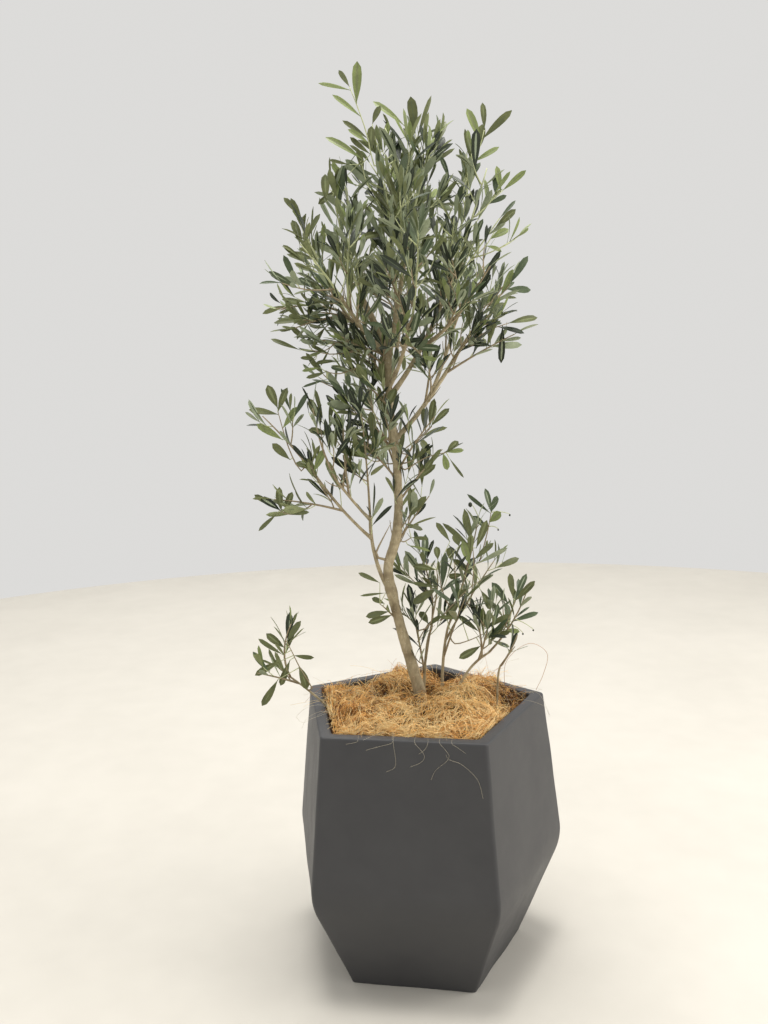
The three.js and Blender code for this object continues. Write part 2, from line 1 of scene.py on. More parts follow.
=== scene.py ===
# %% [markdown]
# # A potted olive tree
# A slender young olive stands in a tall five-sided planter that is topped with coir fibre. The
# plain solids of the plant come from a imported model, which this script loads first and never
# changes. Everything that the eye looks at is then made new around them, in metres and in the
# same frame: +Z up, the origin in the middle of the planter's underside, -Y towards the camera.
# Each surface is a function of two parameters, worked out with numpy as whole arrays.

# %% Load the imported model
import math

import bpy
import numpy as np
from mathutils import Matrix, Vector


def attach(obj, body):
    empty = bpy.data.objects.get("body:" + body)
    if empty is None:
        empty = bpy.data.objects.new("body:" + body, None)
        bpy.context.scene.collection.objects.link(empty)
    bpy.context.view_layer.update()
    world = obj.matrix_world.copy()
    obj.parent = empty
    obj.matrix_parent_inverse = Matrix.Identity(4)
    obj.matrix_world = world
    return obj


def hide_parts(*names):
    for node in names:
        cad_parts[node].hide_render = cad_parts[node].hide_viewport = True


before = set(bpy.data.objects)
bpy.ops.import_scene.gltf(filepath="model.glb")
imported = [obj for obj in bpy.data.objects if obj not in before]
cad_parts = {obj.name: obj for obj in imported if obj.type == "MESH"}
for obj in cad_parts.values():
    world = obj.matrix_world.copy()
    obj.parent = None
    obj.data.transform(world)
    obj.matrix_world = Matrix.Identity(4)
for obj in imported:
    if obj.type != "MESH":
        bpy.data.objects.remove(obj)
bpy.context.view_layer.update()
nodes = sorted(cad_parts)
print("nodes in the frame:", len(nodes))

# %% [markdown]
# ## The camera
# A tall picture taken from about chest height, a little above the planter and close to it. The
# camera looks down by a few degrees and is held a little off level, so the plant seems to lean.
# A camera looks along its own -Z, so it is first raised to the horizon, then tipped and rolled.

# %% Camera
MM = 0.001
CAMERA_PLACE = (-43 * MM, -1366 * MM, 856 * MM)
LOOKS_DOWN = math.radians(8.12)
ROLL = math.radians(1.72)
PICTURE_LONG_SIDE = 1024
FOCAL_PIXELS = 963
SENSOR = 36.0


def placed(name, data):
    """A new object with this data, linked to the scene."""
    thing = bpy.data.objects.new(name, data)
    bpy.context.scene.collection.objects.link(thing)
    return thing


camera = placed("camera", bpy.data.cameras.new("camera"))
camera.data.sensor_width = SENSOR
camera.data.lens = SENSOR * FOCAL_PIXELS / PICTURE_LONG_SIDE
tipped = Matrix.Rotation(math.pi / 2 - LOOKS_DOWN, 4, "X") @ Matrix.Rotation(-ROLL, 4, "Z")
camera.matrix_world = Matrix.Translation(CAMERA_PLACE) @ tipped
bpy.context.scene.camera = camera
bpy.context.scene.view_settings.view_transform = "Standard"
print("lens in mm:", round(camera.data.lens, 2))

# %% [markdown]
# ## Light and floor
# A round pale floor under an even white sky, just so wide that its edge is as bright as the sky
# behind it, so that no horizon is seen. One large soft lamp hangs overhead, weaker ones stand at
# the sides and behind, and the sky fills the rest, so that no shadow is hard.

# %% Light and floor
SKY = (1.0, 0.99, 0.97, 1.0)
SKY_STRENGTH = 0.72
FLOOR_REACH = 2.95
FLOOR_POINTS = 128
LAMPS_AIM = (0, 0, 0.6)
LAMPS = {
    "key": ((2.3, -0.5, 1.5), 36, 1.6, (1.0, 0.97, 0.93)),
    "fill": ((-1.8, -1.8, 2.2), 7, 1.8, (1.0, 0.99, 0.95)),
    "back": ((-0.6, 2.2, 2.4), 12, 1.8, (1.0, 1.0, 1.0)),
    "top": ((-0.1, 0.2, 5.2), 230, 2.0, (1.0, 0.98, 0.95)),
}


def soft_lamp(name, place, power, size, colour):
    """A square lamp at a place, turned so that its -Z points at the middle of the plant."""
    lamp = placed(name, bpy.data.lights.new(name, "AREA"))
    lamp.data.energy = power
    lamp.data.size = size
    lamp.data.color = colour
    away = Vector(place) - Vector(LAMPS_AIM)
    turned = away.to_track_quat("Z", "Y").to_matrix().to_4x4()
    lamp.matrix_world = Matrix.Translation(place) @ turned


for name, lamp in LAMPS.items():
    soft_lamp(name, *lamp)

world = bpy.data.worlds.new("sky")
world.use_nodes = True
world.node_tree.nodes["Background"].inputs["Color"].default_value = SKY
world.node_tree.nodes["Background"].inputs["Strength"].default_value = SKY_STRENGTH
bpy.context.scene.world = world
print("lamps:", len(LAMPS))

# %% [markdown]
# ## Colours and shared effects
# Paint charts and photographs give colours as numbers from 0 to 255, but a shader works in
# linear light, so one function turns the first into the second. Real surfaces are never one
# colour: a shared group called mottle gives soft uneven patches, and one called grain gives the
# fine height for a bump. Both read Object coordinates, so they stay where they are on a piece.

# %% Colours and shader groups
SMALL_PATCHES = 4.7
SMALL_SHARE = 0.4


def tint(red, green, blue):
    """Linear colour: ((c / 255 + 0.055) / 1.055) to the power 2.4, and 1 for full cover."""
    shares = np.array([red, green, blue]) / 255
    return (*(((shares + 0.055) / 1.055) ** 2.4).tolist(), 1.0)


def add_node(tree, kind, settings=(), **inputs):
    """A new shader node. Its settings come first, and an input's name has _ for each space."""
    node = tree.nodes.new("ShaderNode" + kind)
    for label, setting in settings:
        setattr(node, label, setting)
    for label, number in inputs.items():
        node.inputs[label.replace("_", " ")].default_value = number
    return node


def wire(tree, *links):
    """Joins (node, its output, next node, its input) for each row."""
    for start, output, end, entry in links:
        tree.links.new(start.outputs[output], end.inputs[entry])


def new_group(name, numbers, output):
    """An empty shader group with a vector and named numbers going in, and one number out."""
    group = bpy.data.node_groups.new(name, "ShaderNodeTree")
    group.interface.new_socket("Vector", in_out="INPUT", socket_type="NodeSocketVector")
    for label, number in numbers.items():
        socket = group.interface.new_socket(label, in_out="INPUT", socket_type="NodeSocketFloat")
        socket.default_value = number
    group.interface.new_socket(output, in_out="OUTPUT", socket_type="NodeSocketFloat")
    return group, group.nodes.new("NodeGroupInput"), group.nodes.new("NodeGroupOutput")


def mottle_group():
    """Mask = large noise 0.6 + small noise 0.4, stretched to reach from 0 to 1."""
    group, inward, outward = new_group("mottle", {"Scale": 20.0}, "Mask")
    large = add_node(group, "TexNoise", Detail=3)
    small = add_node(group, "TexNoise", Detail=2)
    finer = add_node(group, "Math", [("operation", "MULTIPLY")])
    finer.inputs[1].default_value = SMALL_PATCHES
    both = add_node(group, "Mix", Factor=SMALL_SHARE)
    spread = add_node(group, "MapRange", From_Min=0.34, From_Max=0.66)
    wire(
        group,
        (inward, "Vector", large, "Vector"),
        (inward, "Vector", small, "Vector"),
        (inward, "Scale", large, "Scale"),
        (inward, "Scale", finer, 0),
        (finer, 0, small, "Scale"),
        (large, "Fac", both, "A"),
        (small, "Fac", both, "B"),
        (both, "Result", spread, "Value"),
        (spread, "Result", outward, "Mask"),
    )
    return group


def grain_group():
    """Height = fine noise plus small round pits, where a Voronoi cell's middle is near."""
    group, inward, outward = new_group("grain", {"Scale": 900.0, "Pits": 0.3}, "Height")
    noise = add_node(group, "TexNoise", Detail=4)
    cells = add_node(group, "TexVoronoi")
    deep = add_node(group, "Math", [("operation", "MULTIPLY")])
    total = add_node(group, "Math", [("operation", "ADD")])
    wire(
        group,
        (inward, "Vector", noise, "Vector"),
        (inward, "Vector", cells, "Vector"),
        (inward, "Scale", noise, "Scale"),
        (inward, "Scale", cells, "Scale"),
        (cells, "Distance", deep, 0),
        (inward, "Pits", deep, 1),
        (noise, "Fac", total, 0),
        (deep, 0, total, 1),
        (total, 0, outward, "Height"),
    )
    return group


MOTTLE = mottle_group()
GRAIN = grain_group()
print("shader groups:", MOTTLE.name, GRAIN.name)

# %% [markdown]
# ## A finish
# Every material here is built the same way: two tones mixed by the mottle, a roughness that
# follows it, and a bump from the grain. A finish can then add what only it has, such as the
# rings on bark. Numbers that are the same all over a surface are set on the shader itself.

# %% One finish
def finish(name, dark, light, rough=(0.5, 0.7), patches=20.0, fine=900.0, pits=0.3, bump=0.0002,
           stretch=(1, 1, 1), specular=0.4):
    """A material: colour = dark + (light - dark) mask, roughness likewise, bump from grain."""
    material = bpy.data.materials.new(name)
    material.use_nodes = True
    tree = material.node_tree
    shader = tree.nodes["Principled BSDF"]
    shader.inputs["Specular IOR Level"].default_value = specular
    dark, light = tint(*dark), tint(*light)
    place = add_node(tree, "TexCoord")
    stretched = add_node(tree, "Mapping", Scale=stretch)
    mottle = add_node(tree, "Group", [("node_tree", MOTTLE)], Scale=patches)
    grain = add_node(tree, "Group", [("node_tree", GRAIN)], Scale=fine, Pits=pits)
    mixed = add_node(tree, "Mix", [("data_type", "RGBA")], A=dark, B=light)
    roughness = add_node(tree, "MapRange", To_Min=rough[0], To_Max=rough[1])
    relief = add_node(tree, "Bump", Distance=bump)
    wire(
        tree,
        (place, "Object", stretched, "Vector"),
        (stretched, "Vector", mottle, "Vector"),
        (stretched, "Vector", grain, "Vector"),
        (mottle, "Mask", mixed, "Factor"),
        (mottle, "Mask", roughness, "Value"),
        (grain, "Height", relief, "Height"),
        (mixed, "Result", shader, "Base Color"),
        (roughness, "Result", shader, "Roughness"),
        (relief, "Normal", shader, "Normal"),
    )
    material.diffuse_color = light
    return material


floor_finish = finish("pale_floor", (192, 188, 179), (198, 194, 185), (0.8, 0.9), 3.0)
print("first finish:", floor_finish.name)

# %% [markdown]
# ## From arrays to a piece
# Nearly everything on this plant is a closed tube: the planter is a short wide one, a bough is
# a long thin one, and even a leaf is a tube that is squashed flat. So one function numbers the
# faces of many tubes at once, and another puts points and faces into a mesh.

# %% Faces and pieces
def unit(vectors):
    """Vectors divided by their own length."""
    return vectors / np.maximum(np.linalg.norm(vectors, axis=-1, keepdims=True), 1e-12)


def ray(angle):
    """(cos a, sin a) for each angle."""
    return np.stack([np.cos(angle), np.sin(angle)], -1)


def tube_faces(count, rings, around):
    """Faces of many closed tubes. Ring r, place a of tube t is point (t rings + r) around + a.
    A side face joins places a and a + 1 of rings r and r + 1, and a flat cap shuts each end."""
    first = np.arange(count)[:, None, None] * rings * around
    here = np.arange(around)
    there = (here + 1) % around
    low = first + np.arange(rings - 1)[None, :, None] * around
    sides = np.stack([low + here, low + there, low + around + there, low + around + here], -1)
    start = first[:, 0] + here[::-1]
    end = first[:, 0] + (rings - 1) * around + here
    return sides.reshape(-1, 4), np.concatenate([start, end])


def dealt_by_tube(tone, sides):
    """One finish number a face: the sides tube by tube, then the caps at starts and ends."""
    return np.concatenate([np.repeat(tone, len(sides) // len(tone)), np.tile(tone, 2)])


def enclosed(points, sides, caps):
    """Volume inside the faces: the sum of a . (b x c) / 6 over fans of triangles."""
    total = 0.0
    for faces in (sides, caps):
        for k in range(1, faces.shape[1] - 1):
            a, b, c = points[faces[:, 0]], points[faces[:, k]], points[faces[:, k + 1]]
            total += np.einsum("ij,ij->", a, np.cross(b, c)) / 6
    return total


def new_mesh(name, points, faces, finishes):
    """A mesh of these points and faces with a slot for each finish."""
    mesh = bpy.data.meshes.new(name)
    mesh.from_pydata(points, [], faces)
    for material in finishes:
        mesh.materials.append(material)
    return mesh


def put_piece(name, shape, stands_for, finishes, dealt=None, crease=None):
    """A mesh piece at the origin that rides on the body and stands for nodes of the frame. Its
    shape is points, sides and caps."""
    points, sides, caps = shape
    mesh = new_mesh(name, points.tolist(), sides.tolist() + caps.tolist(), finishes)
    if dealt is not None:
        mesh.polygons.foreach_set("material_index", np.ascontiguousarray(dealt, dtype=np.int32))
    mesh.polygons.foreach_set("use_smooth", np.ones(len(mesh.polygons), dtype=bool))
    if crease is not None:
        mesh.set_sharp_from_angle(angle=math.radians(crease))
    mesh.update()
    piece = placed(name, mesh)
    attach(piece, "root")
    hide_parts(*stands_for)
    triangles = 2 * len(sides) + (caps.shape[1] - 2) * len(caps)
    litres = enclosed(*shape) * 1000
    print(f"{name}: {triangles} triangles, {litres:.3f} litres inside")


def floor_plane():
    """A disc at height 0: (reach cos a, reach sin a, 0) for even steps of a."""
    turn = 2 * math.pi * np.arange(FLOOR_POINTS) / FLOOR_POINTS
    edge = np.c_[FLOOR_REACH * ray(turn), np.zeros(FLOOR_POINTS)]
    mesh = new_mesh("floor", edge.tolist(), [tuple(range(FLOOR_POINTS))], [floor_finish])
    placed("floor", mesh)


floor_plane()

# %% [markdown]
# ## Unevenness in the shape
# A cast planter is not quite flat and bark is lumpy. Adding up a few waves that run in random
# directions gives a smooth unevenness without any texture, and it can be worked out for a whole
# array of points in one go. The seed keeps it the same in every run.

# %% Waves for relief
def ripples(points, size, seed, waves=14):
    """Sum over the waves of sin(k . p + phase), divided by the root of half their number.
    Each k points in a random direction and its length is 2 pi over a length near size."""
    draw = np.random.default_rng(seed)
    heading = unit(draw.normal(size=(waves, 3)))
    lengths = size * draw.uniform(0.7, 1.5, waves)
    phase = draw.uniform(0, 2 * math.pi, waves)
    waved = np.sin(points @ (heading * (2 * math.pi / lengths[:, None])).T + phase)
    return waved.sum(-1) / math.sqrt(waves / 2)


print("ripples at the origin:", np.round(ripples(np.zeros((1, 3)), 0.05, 1), 3))

# %% [markdown]
# ## The planter
# A casting of fibre and resin with five equal sides. It widens from its foot to a belt, where
# the wall turns inwards again, and the belt and the corners are softened by hand. Its outline
# is a pentagon with round corners, so it could be a bevelled five-sided prism. Here a profile
# of radii and heights carries that outline up the outside, over the rim and down the inside,
# and the same function gives the outline for every radius.

# %% Planter sizes
SIDES = 5
FIRST_CORNER = math.radians(-136.5)
HALF_CORNER = math.pi / SIDES
FOOT_RADIUS = 148 * MM
BELT_RADIUS = 218 * MM
RIM_RADIUS = 190 * MM
BELT_HEIGHT = 147 * MM
RIM_HEIGHT = 377 * MM
WALL = 17 * MM
FLOOR = 20 * MM
CORNER_ROUND = 6.5 * MM
BELT_SOFTNESS = 24 * MM
EDGE_ROUND = 3 * MM
SOIL_TOP = 345 * MM
GAP = 0.3 * MM
INSET = WALL / math.cos(HALF_CORNER)
CORNER_POINTS = 9
SIDE_POINTS = 12


def outline(radius):
    """Pentagon with round corners, for an array of radii to its sharp corners. Each corner is
    an arc of angle 2 pi / 5, and straight points between it and the next one fill the side."""
    radius = np.atleast_1d(radius)[:, None, None]
    heading = FIRST_CORNER + 2 * HALF_CORNER * np.arange(SIDES)[None, :, None]
    arc = heading + np.linspace(-HALF_CORNER, HALF_CORNER, CORNER_POINTS)[None, None, :]
    bend = np.minimum(CORNER_ROUND, radius * 0.5)
    out = radius - bend / math.cos(HALF_CORNER)
    corner = out[..., None] * ray(heading) + bend[..., None] * ray(arc)
    share = (np.arange(SIDE_POINTS) + 1)[:, None] / (SIDE_POINTS + 1)
    leaves = corner[:, :, -1:, :]
    meets = np.roll(corner, -1, axis=1)[:, :, :1, :]
    side = leaves + (meets - leaves) * share
    return np.concatenate([corner, side], axis=2).reshape(len(radius), -1, 2)


def outer_radius(height):
    """The lower of two straight walls, less turn * softness * near squared / 4 at the belt."""
    below = FOOT_RADIUS + (BELT_RADIUS - FOOT_RADIUS) * height / BELT_HEIGHT
    slope = (RIM_RADIUS - BELT_RADIUS) / (RIM_HEIGHT - BELT_HEIGHT)
    above = BELT_RADIUS + slope * (height - BELT_HEIGHT)
    near = np.maximum(0, 1 - np.abs(height - BELT_HEIGHT) / BELT_SOFTNESS)
    turn = (BELT_RADIUS - FOOT_RADIUS) / BELT_HEIGHT - slope
    return np.minimum(below, above) - turn * BELT_SOFTNESS * near * near / 4


def inner_radius(height):
    """Straight lines from the floor to the belt and from the belt to the rim, one wall in."""
    heights = [FLOOR, BELT_HEIGHT, RIM_HEIGHT - EDGE_ROUND]
    radii = [outer_radius(FLOOR) - INSET, outer_radius(BELT_HEIGHT) - INSET, RIM_RADIUS - INSET]
    return np.interp(height, heights, radii)


# %% [markdown]
# The profile is sampled closely where it bends: at the foot, along the belt and round the rim,
# where a quarter circle softens both edges. The faces between are almost flat, with a slow
# swell of a third of a millimetre, as a casting has.

# %% Planter profile and surface
RIM_STEPS = 5
WALL_ROWS = (8, 15, 14)
INSIDE_ROWS = 12
CAST_SWELL = 0.35 * MM
SWELL_LENGTH = 90 * MM


def planter_profile():
    """(radius, height) pairs from the foot up the outside, over the rim and down inside."""
    bend = np.linspace(0, math.pi / 2, RIM_STEPS)
    foot = [(FOOT_RADIUS - 2 * EDGE_ROUND, 0.0)]
    foot += [
        (outer_radius(EDGE_ROUND) - EDGE_ROUND * (1 - math.sin(a)), EDGE_ROUND * (1 - math.cos(a)))
        for a in bend[1:]
    ]
    stops = [3 * EDGE_ROUND, BELT_HEIGHT - BELT_SOFTNESS, BELT_HEIGHT + BELT_SOFTNESS]
    stops.append(RIM_HEIGHT - 2 * EDGE_ROUND)
    stretches = [np.linspace(*ends) for ends in zip(stops, stops[1:], WALL_ROWS)]
    wall = [(outer_radius(h), h) for h in np.unique(np.concatenate(stretches))]
    edge = outer_radius(RIM_HEIGHT - EDGE_ROUND) - EDGE_ROUND
    lip = RIM_RADIUS - INSET + EDGE_ROUND
    low = RIM_HEIGHT - EDGE_ROUND
    over = [(edge + EDGE_ROUND * math.cos(a), low + EDGE_ROUND * math.sin(a)) for a in bend]
    back = [(lip - EDGE_ROUND * math.sin(a), low + EDGE_ROUND * math.cos(a)) for a in bend]
    falls = np.linspace(RIM_HEIGHT - 3 * EDGE_ROUND, FLOOR, INSIDE_ROWS)
    inside = [(inner_radius(h), h) for h in falls]
    return np.array(foot + wall + over + back + inside)


def planter():
    """Point = outline(radius of the profile row) at the height of that row, plus a slow swell
    outwards."""
    profile = planter_profile()
    flat = outline(profile[:, 0])
    heights = np.broadcast_to(profile[:, 1][:, None, None], (*flat.shape[:2], 1))
    points = np.concatenate([flat, heights], axis=-1)
    swell = ripples(points, SWELL_LENGTH, seed=5) * CAST_SWELL
    swell[0] = 0
    points[..., :2] += unit(flat) * swell[..., None]
    shape = (points.reshape(-1, 3), *tube_faces(1, *flat.shape[:2]))
    put_piece("planter_body", shape, ["planter"], [planter_finish], crease=50)


print("rows of the profile:", len(planter_profile()))

# %% [markdown]
# The casting is dark slate grey and quite matt, with a grain like fine sandpaper and faint
# cloudy patches where it was rubbed down.

# %% Planter finish
planter_finish = finish(
    "slate_casting", (57, 57, 59), (64, 64, 65), (0.44, 0.56), patches=9.0, fine=1500.0,
    pits=0.5, bump=0.00012, specular=0.45,
)
planter()

# %% [markdown]
# ## The soil
# The soil is hidden under the coir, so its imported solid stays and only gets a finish.

# %% Soil finish
soil_finish = finish(
    "potting_soil", (44, 32, 24), (66, 50, 38), (0.85, 1.0), patches=60.0, fine=500.0,
    pits=1.0, bump=0.001,
)
soil_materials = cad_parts["soil"].data.materials
soil_materials.clear()
soil_materials.append(soil_finish)
print("soil finish:", soil_finish.name)

# %% [markdown]
# ## The coir heap
# Coir is the fibre of coconut husk. On top of the soil it lies as a springy heap of curls. A
# texture can't give its frayed look, so it is made twice: a lumpy heap, dark husk brown
# darkened as painted shade, closes the view down to the soil, and thousands of single fibres
# lie on it.

# %% Coir heap
COIR_EDGE = 371 * MM
# x, y, height and width of each heap or hollow, in mm: those of the plain solid, then others
COIR_HEAPS = [
    (-15, 10, 16, 95), (118, 62, 34, 46), (-34, 70, 16, 40), (-112, 92, -22, 42), (60, -60, 8, 60),
    (-85, -60, 9, 45),
]
TEASED = [
    (-124, 30, 15, 32), (-54, 12, -20, 17), (-62, 42, 9, 17), (-88, 108, -24, 38),
    (-62, 92, -14, 24), (-28, 80, 7, 20), (76, 4, 16, 34), (52, -58, 8, 34), (142, 12, -21, 34),
    (160, 28, 12, 18), (146, 52, -9, 30), (116, -36, -12, 24), (112, 70, -20, 42),
    (46, 128, -26, 34), (34, 96, -12, 24), (-2, 2, -14, 20), (-70, -70, 4, 30),
]
# x, y, darkness and width of painted shade in the hollows and by the walls; below zero it is
# painted light
PAINTED_SHADE_AND_LIGHT = [
    (-54, 16, 2.6, 18), (140, 18, 3.0, 40), (-4, 8, 1.8, 24), (8, -22, 1.0, 20), (44, 48, 1.6, 26),
    (40, 122, 1.8, 34), (-84, 108, 1.4, 30), (-98, -62, 1.1, 30), (76, -20, -0.9, 44),
    (-30, -90, -0.6, 40),
]
TEASED_LUMPS = 3.0 * MM
TEASED_SIZE = 30 * MM
HEAP_RINGS = 44
HEAP_MIDDLE = 0.02
HEAP_LUMPS = [(22 * MM, 2.5 * MM, 8), (8 * MM, 1.0 * MM, 9)]
HEAP_BELOW = 8 * MM


def hills(flat, rows):
    """Sum over rows (x, y, high, wide), in mm, of high * exp(-(distance / wide) squared)."""
    total = 0.0
    for x, y, high, wide in rows:
        away = np.hypot(flat[..., 0] - x * MM, flat[..., 1] - y * MM) / (wide * MM)
        total = total + high * np.exp(-away * away)
    return total


def coir_height(flat):
    """Edge height plus the heaps of the plain solid, the smaller lumps and hollows that were
    teased out of them, and waves."""
    level = np.concatenate([flat, np.zeros_like(flat[..., :1])], axis=-1)
    waves = TEASED_LUMPS * ripples(level, TEASED_SIZE, seed=7)
    return COIR_EDGE + waves + hills(flat, COIR_HEAPS + TEASED) * MM


def coir_heap():
    """Rings of the planter's inner outline, each a share of its full size, at the heap's height
    less a little, with lumps of two sizes."""
    rim = outline(inner_radius(COIR_EDGE) - 2 * GAP)[0]
    flat = rim[None] * np.linspace(1, HEAP_MIDDLE, HEAP_RINGS)[:, None, None]
    surface = np.concatenate([flat, coir_height(flat)[..., None] - HEAP_BELOW], axis=-1)
    for size, rise, seed in HEAP_LUMPS:
        surface[..., 2] += rise * ripples(surface, size, seed)
    bottom = np.concatenate([rim, np.full((len(rim), 1), SOIL_TOP + GAP)], axis=-1)
    points = np.concatenate([bottom[None], surface])
    shape = (points.reshape(-1, 3), *tube_faces(1, *points.shape[:2]))
    put_piece("coir_heap", shape, ["coir_mulch"], [heap_painted_shade_finish])


# The heap's colour is dark husk brown, darkened as painted shade for the depth between the fibres.
heap_painted_shade_finish = finish(
    "coir_painted_shade", (46, 29, 15), (92, 60, 32), (0.85, 1.0), patches=90.0, fine=700.0,
    pits=1.0, bump=0.0015,
)
coir_heap()

# %% [markdown]
# ## Many thin tubes
# Fibres and twigs are thin round tubes along curves. This function makes any number of them
# from one array of paths. It carries a side direction from ring to ring, always straightened
# to stay square to the path, so that no tube twists. The loop runs over the rings of all tubes
# together, never over single points.

# %% Tubes along paths
def carried_frames(paths):
    """Side and up directions on each ring: side is the last ring's side less its part along
    the path, made one long, and up = ahead x side."""
    ahead = unit(np.gradient(paths, axis=1))
    helper = np.where(np.abs(ahead[:, 0, 2:3]) < 0.9, [[0.0, 0.0, 1.0]], [[1.0, 0.0, 0.0]])
    last = unit(np.cross(helper, ahead[:, 0]))
    side = np.empty_like(paths)
    for ring in range(paths.shape[1]):
        forward = ahead[:, ring]
        last = unit(last - forward * np.sum(last * forward, axis=-1, keepdims=True))
        side[:, ring] = last
    return side, np.cross(ahead, side)


def tubes(paths, radii, around):
    """Point = path + radius (cos a * side + sin a * up), for count paths of equal ring number.
    Radii may differ round each ring: their shape is (count, rings) or (count, rings, around)."""
    side, up = carried_frames(paths)
    angle = 2 * math.pi * np.arange(around) / around
    radii = radii if radii.ndim == 3 else radii[:, :, None]
    across = np.cos(angle)[:, None] * side[:, :, None, :]
    across = across + np.sin(angle)[:, None] * up[:, :, None, :]
    points = paths[:, :, None, :] + radii[..., None] * across
    return points.reshape(-1, 3), *tube_faces(*paths.shape[:2], around)


print("faces of one short tube:", [len(faces) for faces in tube_faces(1, 4, 3)])


# %% [markdown]
# ## Coir fibres
# A fibre sets out along a field of directions, so that neighbours run together as they do in a
# teased-out handful, and curls a little as it goes. It arches off the heap, and one that would
# pass the planter's wall is pushed back in along it.

# %% Fibres on the heap
FIBRE_STEPS = 7
# count, lengths, radii, heights, arch, wave, stray, tilt and paleness of each layer; the
# paleness is painted shade that darkens the lowest layer and painted light on the upper ones
FIBRE_LAYERS = [
    (3000, (24, 62), (0.16, 0.34), (-10, -3), 7, 0.14, 0.8, 3, -1.3),
    (4200, (20, 60), (0.2, 0.42), (-5, 3), 6, 0.08, 0.8, 6, 0.45),
    (2200, (16, 52), (0.24, 0.48), (-2, 5), 7, 0.06, 1.4, 12, 0.7),
]
FIBRE_FIELD = 1.2
FIBRE_REACH = (0.88, 1.0)
FIBRE_CURLS = (-8.0, 8.0)
FIBRE_THINS = 0.5
ARCH_POWER = 0.8
TILTS_ABOUT = 0.3
WAVE_LENGTHS = (1.8 * MM, 5.5 * MM)
DRIFT_SIZE = 40 * MM
DRIFT_WAVES = 6
DRIFT_SEEDS = (12, 13)
DRIFT_SHARE = 0.7
WHORL_SHARE = 1.2
BAND_SHARE = 1.2
CROSSING_SHARE = 0.25
CROSSING = 2.0
# x, y, strength and width
WHORLS = [
    (-56, 14, 2.8, 32), (-120, 20, -1.5, 40), (74, -20, 1.4, 45), (118, 66, -2.2, 40),
    (-25, 108, 1.6, 28), (0, -70, -0.8, 50),
]
FRONT_SIDE = FIRST_CORNER + HALF_CORNER
FRONT_OUT = np.array([math.cos(FRONT_SIDE), math.sin(FRONT_SIDE)])
FRONT_ALONG = np.array([-math.sin(FRONT_SIDE), math.cos(FRONT_SIDE)])
FRONT_BAND = 30 * MM
TO_WALL = inner_radius(COIR_EDGE) * math.cos(HALF_CORNER)


def held_inside(flat, limit):
    """Points scaled towards the middle where they pass a pentagon whose sides are limit away."""
    side = FIRST_CORNER + HALF_CORNER + 2 * HALF_CORNER * np.arange(SIDES)
    past = (flat @ ray(side).T).max(-1) / limit
    return flat / np.maximum(past, 1)[..., None]


def flow(flat):
    """Which way the strands run: slow drift + the sum over the whorls of turn * (their offset
    turned a quarter) * exp(-(distance / wide) squared) + a band along the front wall."""
    level = np.c_[flat, np.zeros(len(flat))]
    drift = [ripples(level, DRIFT_SIZE, seed, DRIFT_WAVES) for seed in DRIFT_SEEDS]
    total = DRIFT_SHARE * np.stack(drift, -1)
    for x, y, turn, wide in WHORLS:
        off = (flat - np.array([x, y]) * MM) / (wide * MM)
        near = np.exp(-np.sum(off * off, -1, keepdims=True))
        total += turn * WHORL_SHARE * np.stack([-off[:, 1], off[:, 0]], -1) * near
    to_wall = TO_WALL - flat @ FRONT_OUT
    return total + BAND_SHARE * np.exp(-((to_wall / FRONT_BAND) ** 2))[:, None] * FRONT_ALONG


def layer_of_fibres(count, long, thick, low, arch, wave, stray, tilt, pale, seed):
    """Heading = flow at the foot + the fibre's own stray + curl * distance + a wave.
    Height = heap + low + arch * sin(pi * share) to the power 0.8 + tilt * (share - 0.3)."""
    draw = np.random.default_rng(seed)
    reach = TO_WALL - 2 * MM
    limit = reach * draw.uniform(*FIBRE_REACH, (count, 1))
    place = held_inside(draw.uniform(-1, 1, (count, 2)) * reach * FIBRE_FIELD, limit[:, 0])
    step = draw.uniform(*long, count) * MM / (FIBRE_STEPS - 1)
    own_turn = stray * draw.normal(size=count)
    crossing = draw.uniform(size=count) < CROSSING_SHARE
    own_turn += np.where(crossing, draw.uniform(-CROSSING, CROSSING, count), 0)
    curl = draw.uniform(*FIBRE_CURLS, count)
    phase = draw.uniform(0, 2 * math.pi, count)
    wave_length = draw.uniform(*WAVE_LENGTHS, count)
    flat = np.empty((count, FIBRE_STEPS, 2))
    along = flow(place)
    heading = np.arctan2(along[:, 1], along[:, 0]) + own_turn
    for ring in range(FIBRE_STEPS):
        flat[:, ring] = place
        run = step * ring
        turned = heading + curl * run + wave * np.sin(run / wave_length + phase)
        place = place + step[:, None] * ray(turned)
    flat = held_inside(flat, limit)
    share = np.linspace(0, 1, FIBRE_STEPS)
    arch = arch * MM * draw.uniform(0, 1, count)[:, None] ** 2
    z = coir_height(flat) + draw.uniform(*low, (count, 1)) * MM
    z += arch * np.sin(math.pi * share) ** ARCH_POWER
    z += tilt * MM * draw.normal(size=(count, 1)) * (share - TILTS_ABOUT)
    radii = draw.uniform(*thick, count)[:, None] * MM * (1 - FIBRE_THINS * share**3)
    # the paleness is painted shade on the lowest layer and painted light on the upper ones
    return np.concatenate([flat, z[..., None]], -1), radii, np.full(count, pale)


def heap_fibres():
    """Paths, radii and paleness of all layers, one after the other; the paleness is painted shade
    and light by layer.
    """
    layers = [layer_of_fibres(*layer, seed=31 + n) for n, layer in enumerate(FIBRE_LAYERS)]
    return [np.concatenate(kind) for kind in zip(*layers)]


print("fibres of the heap:", sum(layer[0] for layer in FIBRE_LAYERS))

# %% [markdown]
# Some fibres hang over the rim on the front, and a few stand up or reach out at the sides. The
# ones that the eye picks out are listed: how far along the front side they are, and how far
# they hang down, in millimetres. The rest are scattered along the rim.

